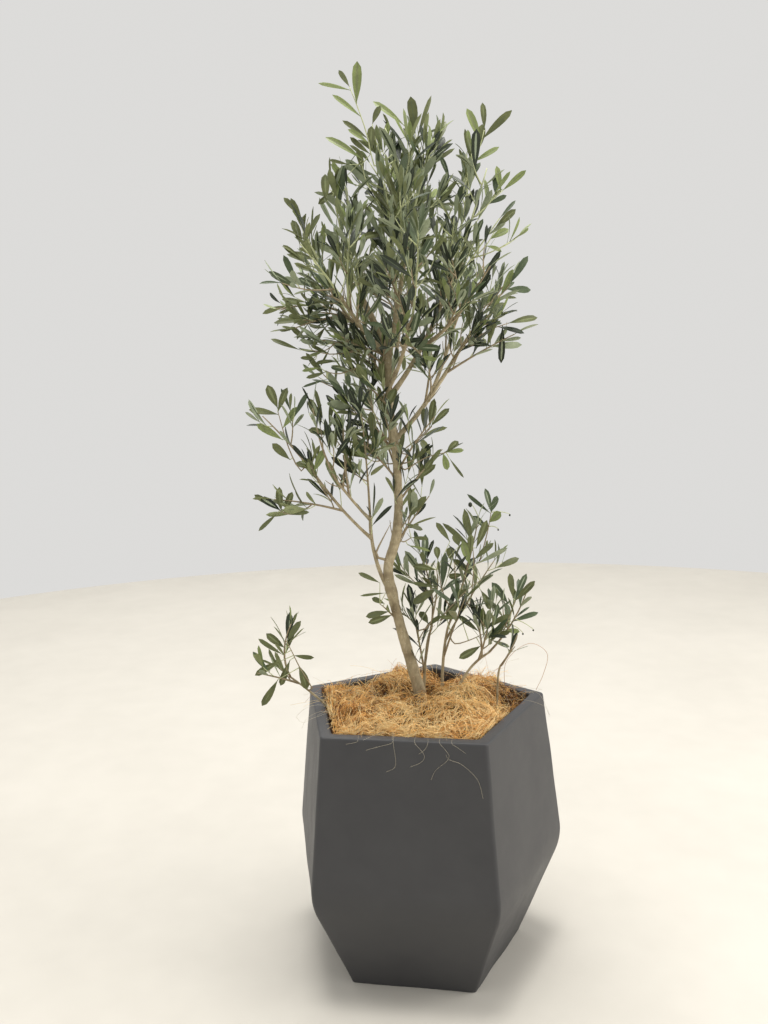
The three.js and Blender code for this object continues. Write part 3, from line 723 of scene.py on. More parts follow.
# %% Stray fibres
# along the front side and down from the rim, in mm
HANGING = [
    [(-14, 3), (-30, 8), (-49, 14)], [(-12, 3), (-9, 26), (-11, 36), (-22, 42)],
    [(17, 2), (29, 17), (25, 27), (10, 34)], [(50, 1), (62, 19), (44, 37), (38, 50)],
    [(59, 19), (79, 28), (99, 47), (106, 71)], [(34, 2), (30, 10), (22, 16)],
    [(66, 1), (74, 6), (84, 13)], [(-60, 2), (-66, 5), (-76, 7)],
]
# x, y and z, in mm
REACHING = [
    [(133, 52, 380), (133, 40, 417), (148, 34, 440), (172, 30, 452),
     (195, 30, 435), (188, 26, 405), (176, 20, 383)],
    [(120, 0, 380), (150, -4, 388), (172, -12, 390), (182, -24, 377), (187, -32, 360)],
    [(112, -14, 381), (150, -24, 384), (178, -36, 378), (186, -42, 366)],
    [(116, 70, 396), (140, 74, 410), (160, 80, 414)],
    [(100, 90, 404), (112, 96, 420), (118, 98, 434)],
    [(-120, -20, 378), (-146, -26, 386), (-166, -30, 382), (-178, -32, 372)],
    [(-126, 8, 379), (-150, 10, 392), (-170, 8, 390)],
    [(-118, -52, 380), (-140, -60, 388), (-160, -64, 380), (-168, -66, 366)],
    [(-104, 40, 372), (-112, 36, 390), (-110, 30, 404)],
    [(-112, -20, 378), (-150, -62, 380), (-166, -64, 374), (-176, -62, 382)],
]
STRAY_RADIUS = 0.17 * MM
STRAY_STEPS = 32
# where a hanging fibre starts: along the side, out from the inner wall and above the rim
OVER_RIM = [(-4, -14, 1), (-1, 8, 1.5)]
OFF_WALL = 1 * MM
SCATTERED = 760
SCATTER_REACH = (0.35, 0.96)
SCATTER_LENGTHS = (14 * MM, 46 * MM)
SCATTER_LEVEL = np.array([1, 1, 0.35])
SCATTER_UP = np.array([0, 0, 0.75])
DROOP_SIDEWAYS = 0.5
DROOP = (-0.8, -0.2)
TUFT_SHARE = 0.6
# x and y of the places where more of them stand, in mm
TUFTS = [(112, 60), (138, 44), (104, 30), (-124, 34), (-118, 4), (-28, 82), (74, 30), (-110, 60)]
TUFT_WIDE = 20 * MM
RIM_FIBRES = 70
# share of them on each side of the planter, from the front side round
RIM_SHARES = [0.3, 0.15, 0.1, 0.1, 0.35]
RIM_START = 14 * MM
RIM_OVER = (1 * MM, 12 * MM)
RIM_ALONG = (-0.96, 0.96)
RIM_DRIFT = 14 * MM
RIM_BOW = 7 * MM
RIM_ARCH = (0.5 * MM, 6 * MM)
RIM_CLIMB = 1.25
RIM_ABOVE = 0.8 * MM


def smooth_path(points, count):
    """Catmull-Rom curve through the points: a cubic on each stretch, whose slope at a point is
    half the way from the point before it to the point after it."""
    points = np.asarray(points, dtype=float)
    ends = np.concatenate([[2 * points[0] - points[1]], points, [2 * points[-1] - points[-2]]])
    where = np.linspace(0, len(points) - 1, count)
    cell = np.minimum(where.astype(int), len(points) - 2)
    t = (where - cell)[:, None]
    before, start, end, after = ends[cell], ends[cell + 1], ends[cell + 2], ends[cell + 3]
    slope_in, slope_out = (end - before) / 2, (after - start) / 2
    return (
        start * (2 * t**3 - 3 * t**2 + 1)
        + slope_in * (t**3 - 2 * t**2 + t)
        + end * (3 * t**2 - 2 * t**3)
        + slope_out * (t**3 - t**2)
    )


def hanging_path(route):
    """Starts inside the wall, crosses the rim and follows the front wall downwards: out = the
    wall's distance at that height + a millimetre."""
    along, drop = np.array(route, dtype=float).T * MM
    z = RIM_HEIGHT - drop
    out = outer_radius(z) * math.cos(HALF_CORNER) + OFF_WALL
    inside = RIM_RADIUS * math.cos(HALF_CORNER) - WALL
    start = np.array([along[0], inside, RIM_HEIGHT]) + np.array(OVER_RIM) * MM
    rows = np.concatenate([start, np.stack([along, out, z], -1)])
    flat = rows[:, :1] * FRONT_ALONG + rows[:, 1:2] * FRONT_OUT
    return smooth_path(np.c_[flat, rows[:, 2]], STRAY_STEPS)


def rim_fibres():
    """Short strands that climb from the heap on to the rim: out = inner wall - start + (start +
    over) t, height = heap, then just above the rim, with a low arch, and a drift sideways."""
    draw = np.random.default_rng(78)
    side = draw.choice(SIDES, RIM_FIBRES, p=RIM_SHARES)
    facing = FRONT_SIDE + 2 * HALF_CORNER * side
    outward = ray(facing)[:, None]
    sideways = outward[..., ::-1] * [-1, 1]
    inner_wall = inner_radius(RIM_HEIGHT) * math.cos(HALF_CORNER)
    half_side = inner_radius(RIM_HEIGHT) * math.sin(HALF_CORNER)
    t = np.linspace(0, 1, FIBRE_STEPS)[None, :]
    each = (RIM_FIBRES, 1)
    over = draw.uniform(*RIM_OVER, each) * draw.uniform(0.2, 1, each)
    out = inner_wall - RIM_START + (RIM_START + over) * t
    drift = draw.normal(scale=RIM_DRIFT, size=each)
    bow = draw.normal(scale=RIM_BOW, size=each)
    along = draw.uniform(*RIM_ALONG, each) * half_side + drift * t + bow * t * t
    climb = np.clip(RIM_CLIMB * t, 0, 1)
    climb = climb * climb * (3 - 2 * climb)
    arch = draw.uniform(*RIM_ARCH, each) * np.sin(math.pi * t)
    low = COIR_EDGE - 1 * MM
    z = low + (RIM_HEIGHT + RIM_ABOVE - low) * climb + arch
    flat = out[..., None] * outward + along[..., None] * sideways
    return np.concatenate([flat, z[..., None]], -1)


def scattered_fibres():
    """Short arcs that start near the heap's edge and lean outwards or upwards: place = start +
    length (share * lean + share squared * droop)."""
    draw = np.random.default_rng(77)
    turn = draw.uniform(0, 2 * math.pi, SCATTERED)
    reach = TO_WALL * draw.uniform(*SCATTER_REACH, SCATTERED)
    flat = ray(turn) * reach[:, None]
    tufts = np.array(TUFTS)[draw.choice(len(TUFTS), SCATTERED)] * MM
    tufts = tufts + draw.normal(scale=TUFT_WIDE, size=tufts.shape)
    flat = np.where(draw.uniform(size=(SCATTERED, 1)) < TUFT_SHARE, tufts, flat)
    flat = held_inside(flat, reach.max())
    start = np.c_[flat, coir_height(flat) - 2 * MM]
    lean = unit(draw.normal(size=(SCATTERED, 3)) * SCATTER_LEVEL + SCATTER_UP)
    sideways = draw.normal(size=(SCATTERED, 2)) * DROOP_SIDEWAYS
    droop = np.c_[sideways, draw.uniform(*DROOP, SCATTERED)]
    length = draw.uniform(*SCATTER_LENGTHS, SCATTERED)[:, None, None]
    share = np.linspace(0, 1, FIBRE_STEPS)[None, :, None]
    paths = start[:, None] + length * (share * lean[:, None] + share**2 * droop[:, None])
    low = paths[..., 2] < RIM_HEIGHT + 1 * MM
    inside = held_inside(paths[..., :2], TO_WALL - 1 * MM)
    paths[..., :2] = np.where(low[..., None], inside, paths[..., :2])
    return paths


print("stray fibres:", len(HANGING) + len(REACHING), "given and", SCATTERED + RIM_FIBRES, "loose")


# %% [markdown]
# The fibres of the heap are dealt into five plain colours, from pale straw to dark husk, each
# with one colour from end to end, and joined into three pieces. The darker colours go to the
# lowest layer and the hollows as painted shade, the paler ones to the upper layers and two bright
# places as painted light. The strays get a pale one too.

# %% Build the fibres
FIBRE_COLOURS = {
    "coir_straw": ((251, 217, 152), (255, 229, 172)),
    "coir_gold": ((247, 195, 116), (252, 207, 132)),
    "coir_amber": ((230, 170, 92), (240, 184, 106)),
    "coir_brown": ((162, 108, 54), (178, 122, 64)),
    "coir_husk": ((84, 52, 24), (106, 68, 34)),
    "coir_pale": ((184, 174, 150), (204, 194, 170)),
}
TONE_SHARES = [0.29, 0.19, 0.13, 0.16, 0.23]
STRAW, GOLD, _, BROWN, _, PALE = range(len(FIBRE_COLOURS))
FIBRE_PIECES = 3
SHADE_SIZE = 24 * MM
SHADE_WAVES = 0.6
SHADE_CHANCE = 0.8
fibre_finishes = []
for name, colours in FIBRE_COLOURS.items():
    rough = (0.7, 0.9) if name == "coir_husk" else (0.6, 0.8)
    fibre_finishes.append(finish(name, *colours, rough, 60.0, bump=0.0))


def fibre_piece(name, paths, radii, tone):
    """Three-sided tubes, each with one finish from end to end."""
    shape = tubes(paths, radii, 3)
    dealt = dealt_by_tube(tone, shape[1])
    put_piece(name, shape, ["coir_mulch"], fibre_finishes, dealt)


def fibre_pieces():
    """Deals each fibre of the heap a colour by the shares above, with painted shade in the hollows
    and on the lowest layer, and painted light on the upper layers and two bright places.
    """
    paths, radii, pale = heap_fibres()
    draw = np.random.default_rng(5)
    middle = paths[:, FIBRE_STEPS // 2]
    shade = SHADE_WAVES * ripples(middle, SHADE_SIZE, seed=14)
    shade += SHADE_CHANCE * draw.normal(size=len(paths))
    # painted shade in the hollows and the lowest layer, painted light on the upper layers and spots
    shade += hills(middle, PAINTED_SHADE_AND_LIGHT) - pale
    tone = np.digitize(shade, np.quantile(shade, np.cumsum(TONE_SHARES)[:-1]))
    for number, part in enumerate(np.array_split(np.arange(len(paths)), FIBRE_PIECES)):
        fibre_piece(f"coir_fibres_{number + 1}", paths[part], radii[part], tone[part])


def stray_pieces():
    """The listed fibres, and the ones scattered over the heap and along the rim. The first of
    those that reach out is a thicker brown strand."""
    draw = np.random.default_rng(6)
    given = [hanging_path(route) for route in HANGING]
    given = np.array(given + [smooth_path(np.array(route) * MM, STRAY_STEPS) for route in REACHING])
    radii = np.full(given.shape[:2], STRAY_RADIUS)
    tone = np.full(len(given), PALE)
    radii[len(HANGING)] = 2 * STRAY_RADIUS
    tone[len(HANGING)] = BROWN
    fibre_piece("coir_strays_given", given, radii, tone)
    loose = np.concatenate([rim_fibres(), scattered_fibres()])
    tone = draw.choice([STRAW, GOLD, BROWN, PALE], len(loose))
    fibre_piece("coir_strays_loose", loose, np.full(loose.shape[:2], STRAY_RADIUS), tone)


fibre_pieces()
stray_pieces()

# %% [markdown]
# ## Lines of growth
# The trunk follows a curve through a few measured places. Each bough is a simple bend from a
# place on its parent to its own tip, and it sags before it turns up. The names and sizes are
# the same as those of the plain solids, so that the new wood stands where the old stood.

# %% Trunk and boughs
TRUNK_LINE = [
    (14, 0, 345.3), (-13, 0, 449), (-36, -3, 545), (-39, -3, 582), (-26, 0, 625), (-22, 2, 697),
    (-30, 0, 820), (-34, -2, 884), (-50, 0, 930), (-66, 3, 965),
]
TRUNK_RADII = (9.2 * MM, 4.4 * MM)
ROOT_FLARE = 5.5 * MM
FLARE_LENGTH = 22 * MM
SUCKER_BEND = 0.15
# parent and share of its length, or the foot's x and y on the soil; tip; sag; radii
LIMBS = {
    "bough_leader": ("trunk", 0.84, (4, -15, 1060), 14, (4.2, 2.6)),
    "bough_right_high": ("trunk", 0.77, (64, -30, 996), 34, (3.6, 2.3)),
    "bough_right_low": ("trunk", 0.67, (66, 22, 880), 16, (3.8, 2.4)),
    "bough_left": ("trunk", 0.9, (-98, 4, 946), 6, (3.2, 2.2)),
    "bough_front": ("trunk", 0.79, (2, -78, 930), 20, (3.2, 2.1)),
    "bough_front_left": ("trunk", 0.87, (-92, -64, 960), 16, (3.1, 2.1)),
    "bough_front_right": ("bough_right_high", 0.42, (76, -88, 950), 14, (2.9, 2)),
    "bough_back": ("trunk", 0.8, (-8, 84, 945), 22, (3.2, 2.1)),
    "bough_back_left": ("trunk", 0.86, (-96, 74, 955), 18, (3.1, 2.1)),
    "bough_back_right": ("bough_right_low", 0.5, (70, 88, 925), 14, (2.9, 2)),
    "bough_left_low": ("trunk", 0.318, (-63, -10, 656), 10, (3, 2.2)),
    "bough_left_outer": ("bough_left_low", 0.74, (-142, -22, 726), 14, (2.2, 1.7)),
    "bough_left_inner": ("bough_left_low", 0.97, (-108, -32, 712), 4, (2.1, 1.6)),
    "sucker_stem_inner": ("soil", (8, 26), (22, 30, 478), 10, (2.6, 1.8)),
    "sucker_stem_tall": ("soil", (34, 16), (50, 12, 496), 14, (2.9, 1.9)),
    "sucker_stem_outer": ("soil", (44, -8), (104, -4, 450), 14, (2.6, 1.8)),
    "sucker_stem_edge": ("soil", (112, -22), (118, -30, 438), 2, (2, 1.5)),
    "sucker_stem_left": ("soil", (-112, -6), (-186, -14, 425), 26, (2, 1.5)),
}
BOWED = {"bough_left_low": -15}
UP = np.array([0.0, 0.0, 1.0])
FINE_STEPS = 160
TRUNK_STEPS = 30
HEADING_REACH = 0.01


class Line:
    """A curve as many close points, with places on it given as shares of its length."""

    def __init__(self, points):
        self.points = points
        steps = np.linalg.norm(np.diff(points, axis=0), axis=1)
        self.run = np.concatenate([[0.0], np.cumsum(steps)])
        self.length = self.run[-1]

    def at(self, share):
        """The points at these shares of the length."""
        where = np.asarray(share) * self.length
        return np.stack([np.interp(where, self.run, self.points[:, k]) for k in range(3)], -1)

    def heading(self, share):
        """Unit direction: from a little before the place to a little after it."""
        share = np.asarray(share)
        ahead = self.at(np.minimum(share + HEADING_REACH, 1))
        return unit(ahead - self.at(np.maximum(share - HEADING_REACH, 0)))


def bend_line(start, bend, end, count):
    """Quadratic curve: (1 - t)^2 start + 2 t (1 - t) bend + t^2 end."""
    t = np.linspace(0, 1, count)[:, None]
    return Line((1 - t) ** 2 * start + 2 * t * (1 - t) * bend + t**2 * end)


def trunk_line():
    """Curve through the trunk's places, each stretch timed by the root of its length, so that
    close places don't make it bulge."""
    places = np.array(TRUNK_LINE, dtype=float) * MM
    ends = np.concatenate([[2 * places[0] - places[1]], places, [2 * places[-1] - places[-2]]])
    t = np.linspace(0, 1, TRUNK_STEPS)[:, None]
    stretches = []
    for a, b, c, d in zip(ends[:-3], ends[1:-2], ends[2:-1], ends[3:]):
        first, mid, last = (math.sqrt(np.linalg.norm(q - p)) for p, q in ((a, b), (b, c), (c, d)))
        leave = ((b - a) / first - (c - a) / (first + mid) + (c - b) / mid) * mid
        arrive = ((c - b) / mid - (d - b) / (mid + last) + (d - c) / last) * mid
        square = -3 * b + 3 * c - 2 * leave - arrive
        cube = 2 * b - 2 * c + leave + arrive
        stretches.append((b + leave * t + square * t**2 + cube * t**3)[:-1])
    return Line(np.concatenate([*stretches, places[-1:]]))


def limb_lines():
    """The trunk's line and each limb's, from its parent's axis or its foot on the soil. A limb
    sags in its middle, and a sucker leaves the soil steeply and bends near its tip's height."""
    lines = {"trunk": trunk_line()}
    for name, (on, at, tip, sag, _) in LIMBS.items():
        tip = np.array(tip, dtype=float) * MM
        if on == "soil":
            start = np.array([*at, 0]) * MM + UP * (SOIL_TOP + GAP)
            bend = start + (tip - start) * SUCKER_BEND
            bend[2] = tip[2] - 2 * sag * MM
        else:
            start = lines[on].at(at)
            bend = start + (tip - start) * 0.5 - UP * sag * MM
        bend[0] += BOWED.get(name, 0) * MM
        lines[name] = bend_line(start, bend, tip, FINE_STEPS)
    return lines


lines = limb_lines()
print("trunk length in mm:", round(lines["trunk"].length / MM))

# %% [markdown]
# ## Bark
# Young olive bark is pale and mostly smooth. It has low rings where leaf pairs once sat, long
# shallow grooves, small lumps and scars, and a swollen collar where a bough leaves. All of that
# is relief in the mesh: the radius of each ring point is changed by waves and by narrow bumps
# along the length, and the tube function does the rest.

# %% Wood with relief
TRUNK_AROUND = 40
TRUNK_RINGS = 420
BOUGH_AROUND = 16
BOUGH_RINGS = 90
BARK_SEEDS = 200
NODE_EVERY = 24 * MM
NODE_JITTER = (0.2, 0.8)
NODE_RISES = (0.5, 1.4)
NODE_RISE = 0.055
NODE_WIDTH = 2.2 * MM
GROOVE_SHARE = 0.05
LUMP_SHARE = 0.05
# turns round the limb, length and size of the waves
GROOVES = (2.2, 34 * MM, 4.0)
LUMPS = (1.0, 11 * MM, 3.0)
COLLAR_RISE = 0.45
COLLAR_LENGTH = 7 * MM
FORK_RISE = 1.6 * MM
FORK_AT = 0.325
FORK_LENGTH = 13 * MM
# the trunk and the suckers are slimmer than their plain solids, and the root flare more so
SLIM = 0.9
SLIM_FLARE = SLIM**4 * ROOT_FLARE


def bark_waves(run, around, turns, every, size, seed):
    """Waves over the points (turns cos a, turns sin a, run / every) of a limb's bark."""
    turn = turns * ray(2 * math.pi * np.arange(around) / around)
    wide = np.broadcast_to(turn, (len(run), around, 2))
    long = np.broadcast_to(run[:, None, None] / every, (len(run), around, 1))
    return ripples(np.concatenate([wide, long], -1), size, seed)


def bark_radii(radius, run, around, seed):
    """radius (1 + rings + grooves + lumps). A ring is a bell curve along the length, a groove
    changes round the limb and hardly along it, and lumps change both ways."""
    draw = np.random.default_rng(seed)
    count = max(2, int(run[-1] / NODE_EVERY))
    rings = (np.arange(count) + draw.uniform(*NODE_JITTER, count)) * run[-1] / count
    height = NODE_RISE * draw.uniform(*NODE_RISES, count)
    bells = (height * np.exp(-(((run[:, None] - rings) / NODE_WIDTH) ** 2))).sum(-1)
    grooves = bark_waves(run, around, *GROOVES, seed + 1)
    lumps = bark_waves(run, around, *LUMPS, seed + 2)
    relief = 1 + bells[:, None] + GROOVE_SHARE * grooves + LUMP_SHARE * lumps
    return radius[:, None] * relief


def wood_piece(name, radius_at, rings, around, seed):
    """A limb's bark: rings at equal steps along its line, with relief. At its tip it is shut by a
    flat cap."""
    line = lines[name]
    share = np.linspace(0, 1, rings)
    radii = bark_radii(radius_at(share), share * line.length, around, seed)
    shape = tubes(line.at(share)[None], radii[None], around)
    put_piece(f"{name}_bark", shape, [name], [bark_finish])


def taper(thick, thin):
    """Radius that falls evenly from the foot to the tip."""
    return lambda share: thick + (thin - thick) * share


def trunk_radius(share):
    """Even taper plus flare * exp(-distance / flare length) at the foot, and a low swelling at
    the fork of the lowest bough."""
    plain = SLIM * taper(*TRUNK_RADII)(share)
    length = lines["trunk"].length
    swelling = FORK_RISE * np.exp(-(((share - FORK_AT) * length / FORK_LENGTH) ** 2))
    return plain + SLIM_FLARE * np.exp(-share * length / FLARE_LENGTH) + swelling


def bough_radius(name):
    """Even taper plus a collar at the foot of a bough that grows on another limb."""
    rooted, thick, length = LIMBS[name][0] == "soil", LIMBS[name][4], lines[name].length
    plain = taper(*(np.array(thick) * MM * (SLIM if rooted else 1)))
    collar = 0 if rooted else COLLAR_RISE
    return lambda share: plain(share) * (1 + collar * np.exp(-share * length / COLLAR_LENGTH))


print("collar on a bough:", COLLAR_RISE)

# %% [markdown]
# The bark's colour is a pale warm grey with darker patches. On top of the shared finish it has
# pale corky dots, from the middles of Voronoi cells, and brown rings that follow the height.

# %% Bark finish
def bark_material():
    """Shared finish, then pale dots where a cell's middle is near, and darker bands where a
    stretched noise is high."""
    material = finish(
        "olive_bark", (128, 115, 88), (188, 174, 142), (0.65, 0.85), patches=55.0,
        fine=1100.0, pits=0.6, bump=0.0004, stretch=(1, 1, 0.45), specular=0.3,
    )
    tree = material.node_tree
    shader = tree.nodes["Principled BSDF"]
    mixed = shader.inputs["Base Color"].links[0].from_node
    place = next(node for node in tree.nodes if node.bl_idname == "ShaderNodeTexCoord")
    blend = [("data_type", "RGBA")]
    squeezed = add_node(tree, "Mapping", Scale=(14, 14, 70))
    bands = add_node(tree, "TexNoise", Scale=1.0, Detail=2)
    cells = add_node(tree, "TexVoronoi", Scale=260.0)
    dotted = add_node(tree, "MapRange", From_Min=0.22, From_Max=0.10, To_Max=0.55)
    banded = add_node(tree, "MapRange", From_Min=0.58, From_Max=0.68, To_Max=0.3)
    brown = add_node(tree, "Mix", blend, B=tint(104, 84, 60))
    pale = add_node(tree, "Mix", blend, B=tint(204, 196, 176))
    wire(
        tree,
        (place, "Object", squeezed, "Vector"),
        (place, "Object", cells, "Vector"),
        (squeezed, "Vector", bands, "Vector"),
        (bands, "Fac", banded, "Value"),
        (cells, "Distance", dotted, "Value"),
        (banded, "Result", brown, "Factor"),
        (mixed, "Result", brown, "A"),
        (dotted, "Result", pale, "Factor"),
        (brown, "Result", pale, "A"),
        (pale, "Result", shader, "Base Color"),
    )
    return material


bark_finish = bark_material()
wood_piece("trunk", trunk_radius, TRUNK_RINGS, TRUNK_AROUND, seed=100)
for number, name in enumerate(LIMBS):
    wood_piece(name, bough_radius(name), BOUGH_RINGS, BOUGH_AROUND, BARK_SEEDS + 10 * number)

# %% [markdown]
# ## The masses of foliage
# Each mass of leaves grows from one place on a limb towards its own furthest tip, and keeps to
# a space of its own: an egg shape round that line, cut by a flat wall on the way to each mass
# next to it. These are the same places, tips and half widths as those of the plain solids.

# %% Masses
# limb, share of its length, tip and half width
MASSES = {
    "crown_top": ("bough_leader", 1, (-61, -15, 1268), 74),
    "crown_top_middle": ("bough_leader", 0.8, (16, 26, 1226), 76),
    "crown_top_left": ("trunk", 1, (-112, -6, 1166), 84),
    "crown_top_right": ("bough_right_high", 1, (134, -22, 1203), 76),
    "crown_right_upper": ("bough_right_high", 0.74, (162, -34, 1110), 76),
    "crown_right_middle": ("bough_right_low", 1, (172, 40, 1022), 76),
    "crown_right": ("bough_right_low", 0.8, (186, 4, 926), 72),
    "crown_left_upper": ("bough_left", 0.7, (-160, -12, 1096), 76),
    "crown_left": ("bough_left", 1, (-202, 0, 950), 78),
    "crown_left_low": ("trunk", 0.64, (-150, 4, 891), 68),
    "crown_middle": ("bough_leader", 0.42, (-34, -96, 1150), 84),
    "crown_middle_back": ("bough_leader", 0.62, (24, 104, 1166), 84),
    "crown_front": ("bough_front", 1, (10, -176, 1056), 84),
    "crown_front_low": ("bough_front", 0.66, (16, -158, 872), 70),
    "crown_front_left": ("bough_front_left", 1, (-152, -128, 1040), 84),
    "crown_front_right": ("bough_front_right", 1, (128, -142, 1030), 82),
    "crown_back": ("bough_back", 1, (-16, 182, 1066), 84),
    "crown_back_low": ("bough_back", 0.64, (0, 166, 874), 72),
    "crown_back_left": ("bough_back_left", 1, (-150, 140, 1050), 84),
    "crown_back_right": ("bough_back_right", 1, (132, 146, 1040), 84),
    "lower_back": ("trunk", 0.6, (-74, 112, 850), 76),
    "lower_left_outer": ("bough_left_outer", 1, (-226, -24, 826), 64),
    "lower_left_inner": ("bough_left_inner", 1, (-144, -46, 842), 62),
    "lower_left_tuft": ("bough_left_outer", 0.44, (-224, -20, 692), 46),
    "lower_middle": ("bough_left_low", 1, (-72, -52, 846), 64),
    "lower_right_upper": ("trunk", 0.6, (53, -34, 826), 56),
    "lower_right": ("trunk", 0.53, (72, 16, 778), 54),
    "lower_shoot": ("trunk", 0.42, (38, 4, 704), 52),
    "lower_sprig": ("trunk", 0.25, (-82, -8, 556), 54),
    "sucker_inner": ("sucker_stem_inner", 1, (4, 44, 622), 62),
    "sucker_tall": ("sucker_stem_tall", 1, (106, 14, 690), 72),
    "sucker_middle": ("sucker_stem_tall", 0.78, (140, 40, 612), 64),
    "sucker_outer": ("sucker_stem_outer", 1, (184, -2, 590), 66),
    "sucker_edge": ("sucker_stem_edge", 1, (152, -62, 530), 60),
    "sucker_left": ("sucker_stem_left", 1, (-180, -18, 528), 56),
    "sucker_left_low": ("sucker_stem_left", 0.86, (-250, -22, 440), 56),
}
# the same for shoots that fill the space between the masses
INNER_SHOOTS = [
    ("trunk", 0.86, (-150, -24, 912), 42), ("trunk", 0.83, (-112, -46, 922), 44),
    ("trunk", 0.8, (-96, 34, 908), 44), ("trunk", 0.78, (-72, -20, 916), 42),
    ("bough_left", 0.85, (-176, -30, 918), 40), ("trunk", 0.98, (-92, 10, 1190), 56),
    ("bough_leader", 0.9, (-62, 40, 1178), 50), ("bough_leader", 0.95, (48, 0, 1196), 50),
    ("bough_right_high", 0.9, (92, 6, 1142), 52), ("bough_leader", 0.35, (-20, 60, 1010), 50),
    ("bough_left_inner", 0.6, (-96, -50, 812), 44), ("sucker_stem_inner", 0.5, (-12, 0, 548), 44),
    ("sucker_stem_inner", 0.62, (36, 26, 560), 44), ("sucker_stem_tall", 0.62, (78, -22, 560), 46),
    ("sucker_stem_outer", 0.85, (110, -30, 540), 46), ("bough_front", 0.6, (-4, -112, 934), 46),
    ("bough_front_left", 0.6, (-66, -104, 952), 46),
    ("bough_front_right", 0.5, (62, -116, 946), 46), ("bough_front", 0.85, (-40, -128, 1010), 48),
    ("bough_front_right", 0.8, (48, -120, 1020), 48),
    ("bough_front_left", 0.8, (-74, -88, 1072), 48), ("bough_right_high", 0.8, (62, -92, 1080), 48),
    ("bough_leader", 0.6, (-10, -78, 1122), 50), ("bough_back", 0.6, (-8, 118, 934), 46),
    ("bough_back_left", 0.6, (-70, 108, 950), 46), ("bough_back_right", 0.6, (60, 116, 944), 46),
    ("bough_back", 0.85, (-52, 132, 1014), 48), ("bough_back_right", 0.8, (50, 128, 1020), 48),
    ("bough_back_left", 0.8, (-76, 92, 1072), 48), ("bough_back_right", 0.9, (64, 96, 1080), 48),
    ("bough_leader", 0.6, (-4, 84, 1120), 50), ("bough_left", 0.6, (-117, -20, 978), 40),
    ("bough_left", 0.8, (-130, -34, 944), 40), ("bough_front_left", 0.9, (-118, -60, 966), 38),
    ("bough_front_left", 0.7, (-86, -44, 990), 42), ("bough_right_low", 0.45, (34, -34, 945), 40),
    ("bough_right_low", 0.9, (92, -16, 915), 40), ("bough_right_low", 1, (126, -14, 950), 42),
    ("bough_left_inner", 0.8, (-84, -24, 776), 36), ("bough_left_outer", 0.9, (-150, -26, 744), 36),
    ("trunk", 0.74, (-100, -24, 880), 42), ("trunk", 0.66, (-112, -20, 828), 42),
    ("trunk", 0.58, (-94, -24, 788), 32), ("bough_right_low", 0.55, (24, -30, 872), 32),
    ("bough_right_high", 0.7, (42, -50, 972), 40), ("bough_right_high", 0.5, (20, -48, 938), 40),
    ("sucker_stem_outer", 0.9, (84, -14, 520), 40),
]
STEM_SHARE = 0.78
STEM_BEND = 0.4
STEM_STEPS = 40
TURN_AT_TIP = 0.5
TURN_AT_SIDE = 0.85
SPACE_BEHIND = 0.25
SHY = 2 * MM
INNER_SEEDS = 100


class Space:
    """A mass's stem and the room it keeps to, from a row (limb, share of it, tip, girth)."""

    def __init__(self, index, on, at, tip, girth):
        self.index, self.girth = index, girth * MM
        foot, heading = lines[on].at(at), lines[on].heading(at)
        tip = np.array(tip, dtype=float) * MM
        reach = np.linalg.norm(tip - foot)
        self.axis = (tip - foot) / reach
        blend = TURN_AT_TIP if at == 1 else TURN_AT_SIDE
        leaving = unit(heading + (self.axis - heading) * blend)
        end = foot + (tip - foot) * STEM_SHARE
        self.stem = bend_line(foot, foot + leaving * reach * STEM_BEND, end, STEM_STEPS)
        back = foot - (tip - foot) * SPACE_BEHIND
        self.half = np.linalg.norm(tip - back) / 2
        self.middle = (back + tip) / 2
        self.walls = []

    def reaches(self, direction):
        """From the middle to the skin of the egg shape, as seen along a direction."""
        along = float(self.axis @ direction) ** 2
        return math.sqrt(self.half**2 * along + self.girth**2 * (1 - along))

    def holds(self, point):
        """True inside the egg shape and behind every wall."""
        off = point - self.middle
        along = float(off @ self.axis)
        beside = float(off @ off) - along * along
        if (along / self.half) ** 2 + beside / self.girth**2 > 1:
            return False
        return all(float(point @ across) <= limit for across, limit in self.walls)


def raise_walls(spaces):
    """Between two spaces that would meet stands a wall, nearer to the smaller one."""
    for one in spaces:
        for other in spaces:
            if one is other:
                continue
            across = other.middle - one.middle
            apart = np.linalg.norm(across)
            across = across / apart
            mine, theirs = one.reaches(across), other.reaches(across)
            if apart < mine + theirs:
                limit = float(one.middle @ across) + apart * mine / (mine + theirs) - SHY / 2
                one.walls.append((across, limit))


spaces = [Space(index, *mass) for index, mass in enumerate(MASSES.values())]
raise_walls(spaces)
spaces += [Space(INNER_SEEDS + index, *shoot) for index, shoot in enumerate(INNER_SHOOTS)]
middles = np.array([space.middle for space in spaces])
axes = np.array([space.axis for space in spaces])
halves = np.array([space.half for space in spaces])
girths = np.array([space.girth for space in spaces])
print("stems:", len(spaces), "walls:", sum(len(space.walls) for space in spaces))

# %% [markdown]
# The crown isn't evenly full. Where the sky shows through it, twigs and leaves are left out by
# a share that falls off from the middle of each such place. The places are given as x, z,
# radius and share on the upright plane through the trunk, as the camera sees it.

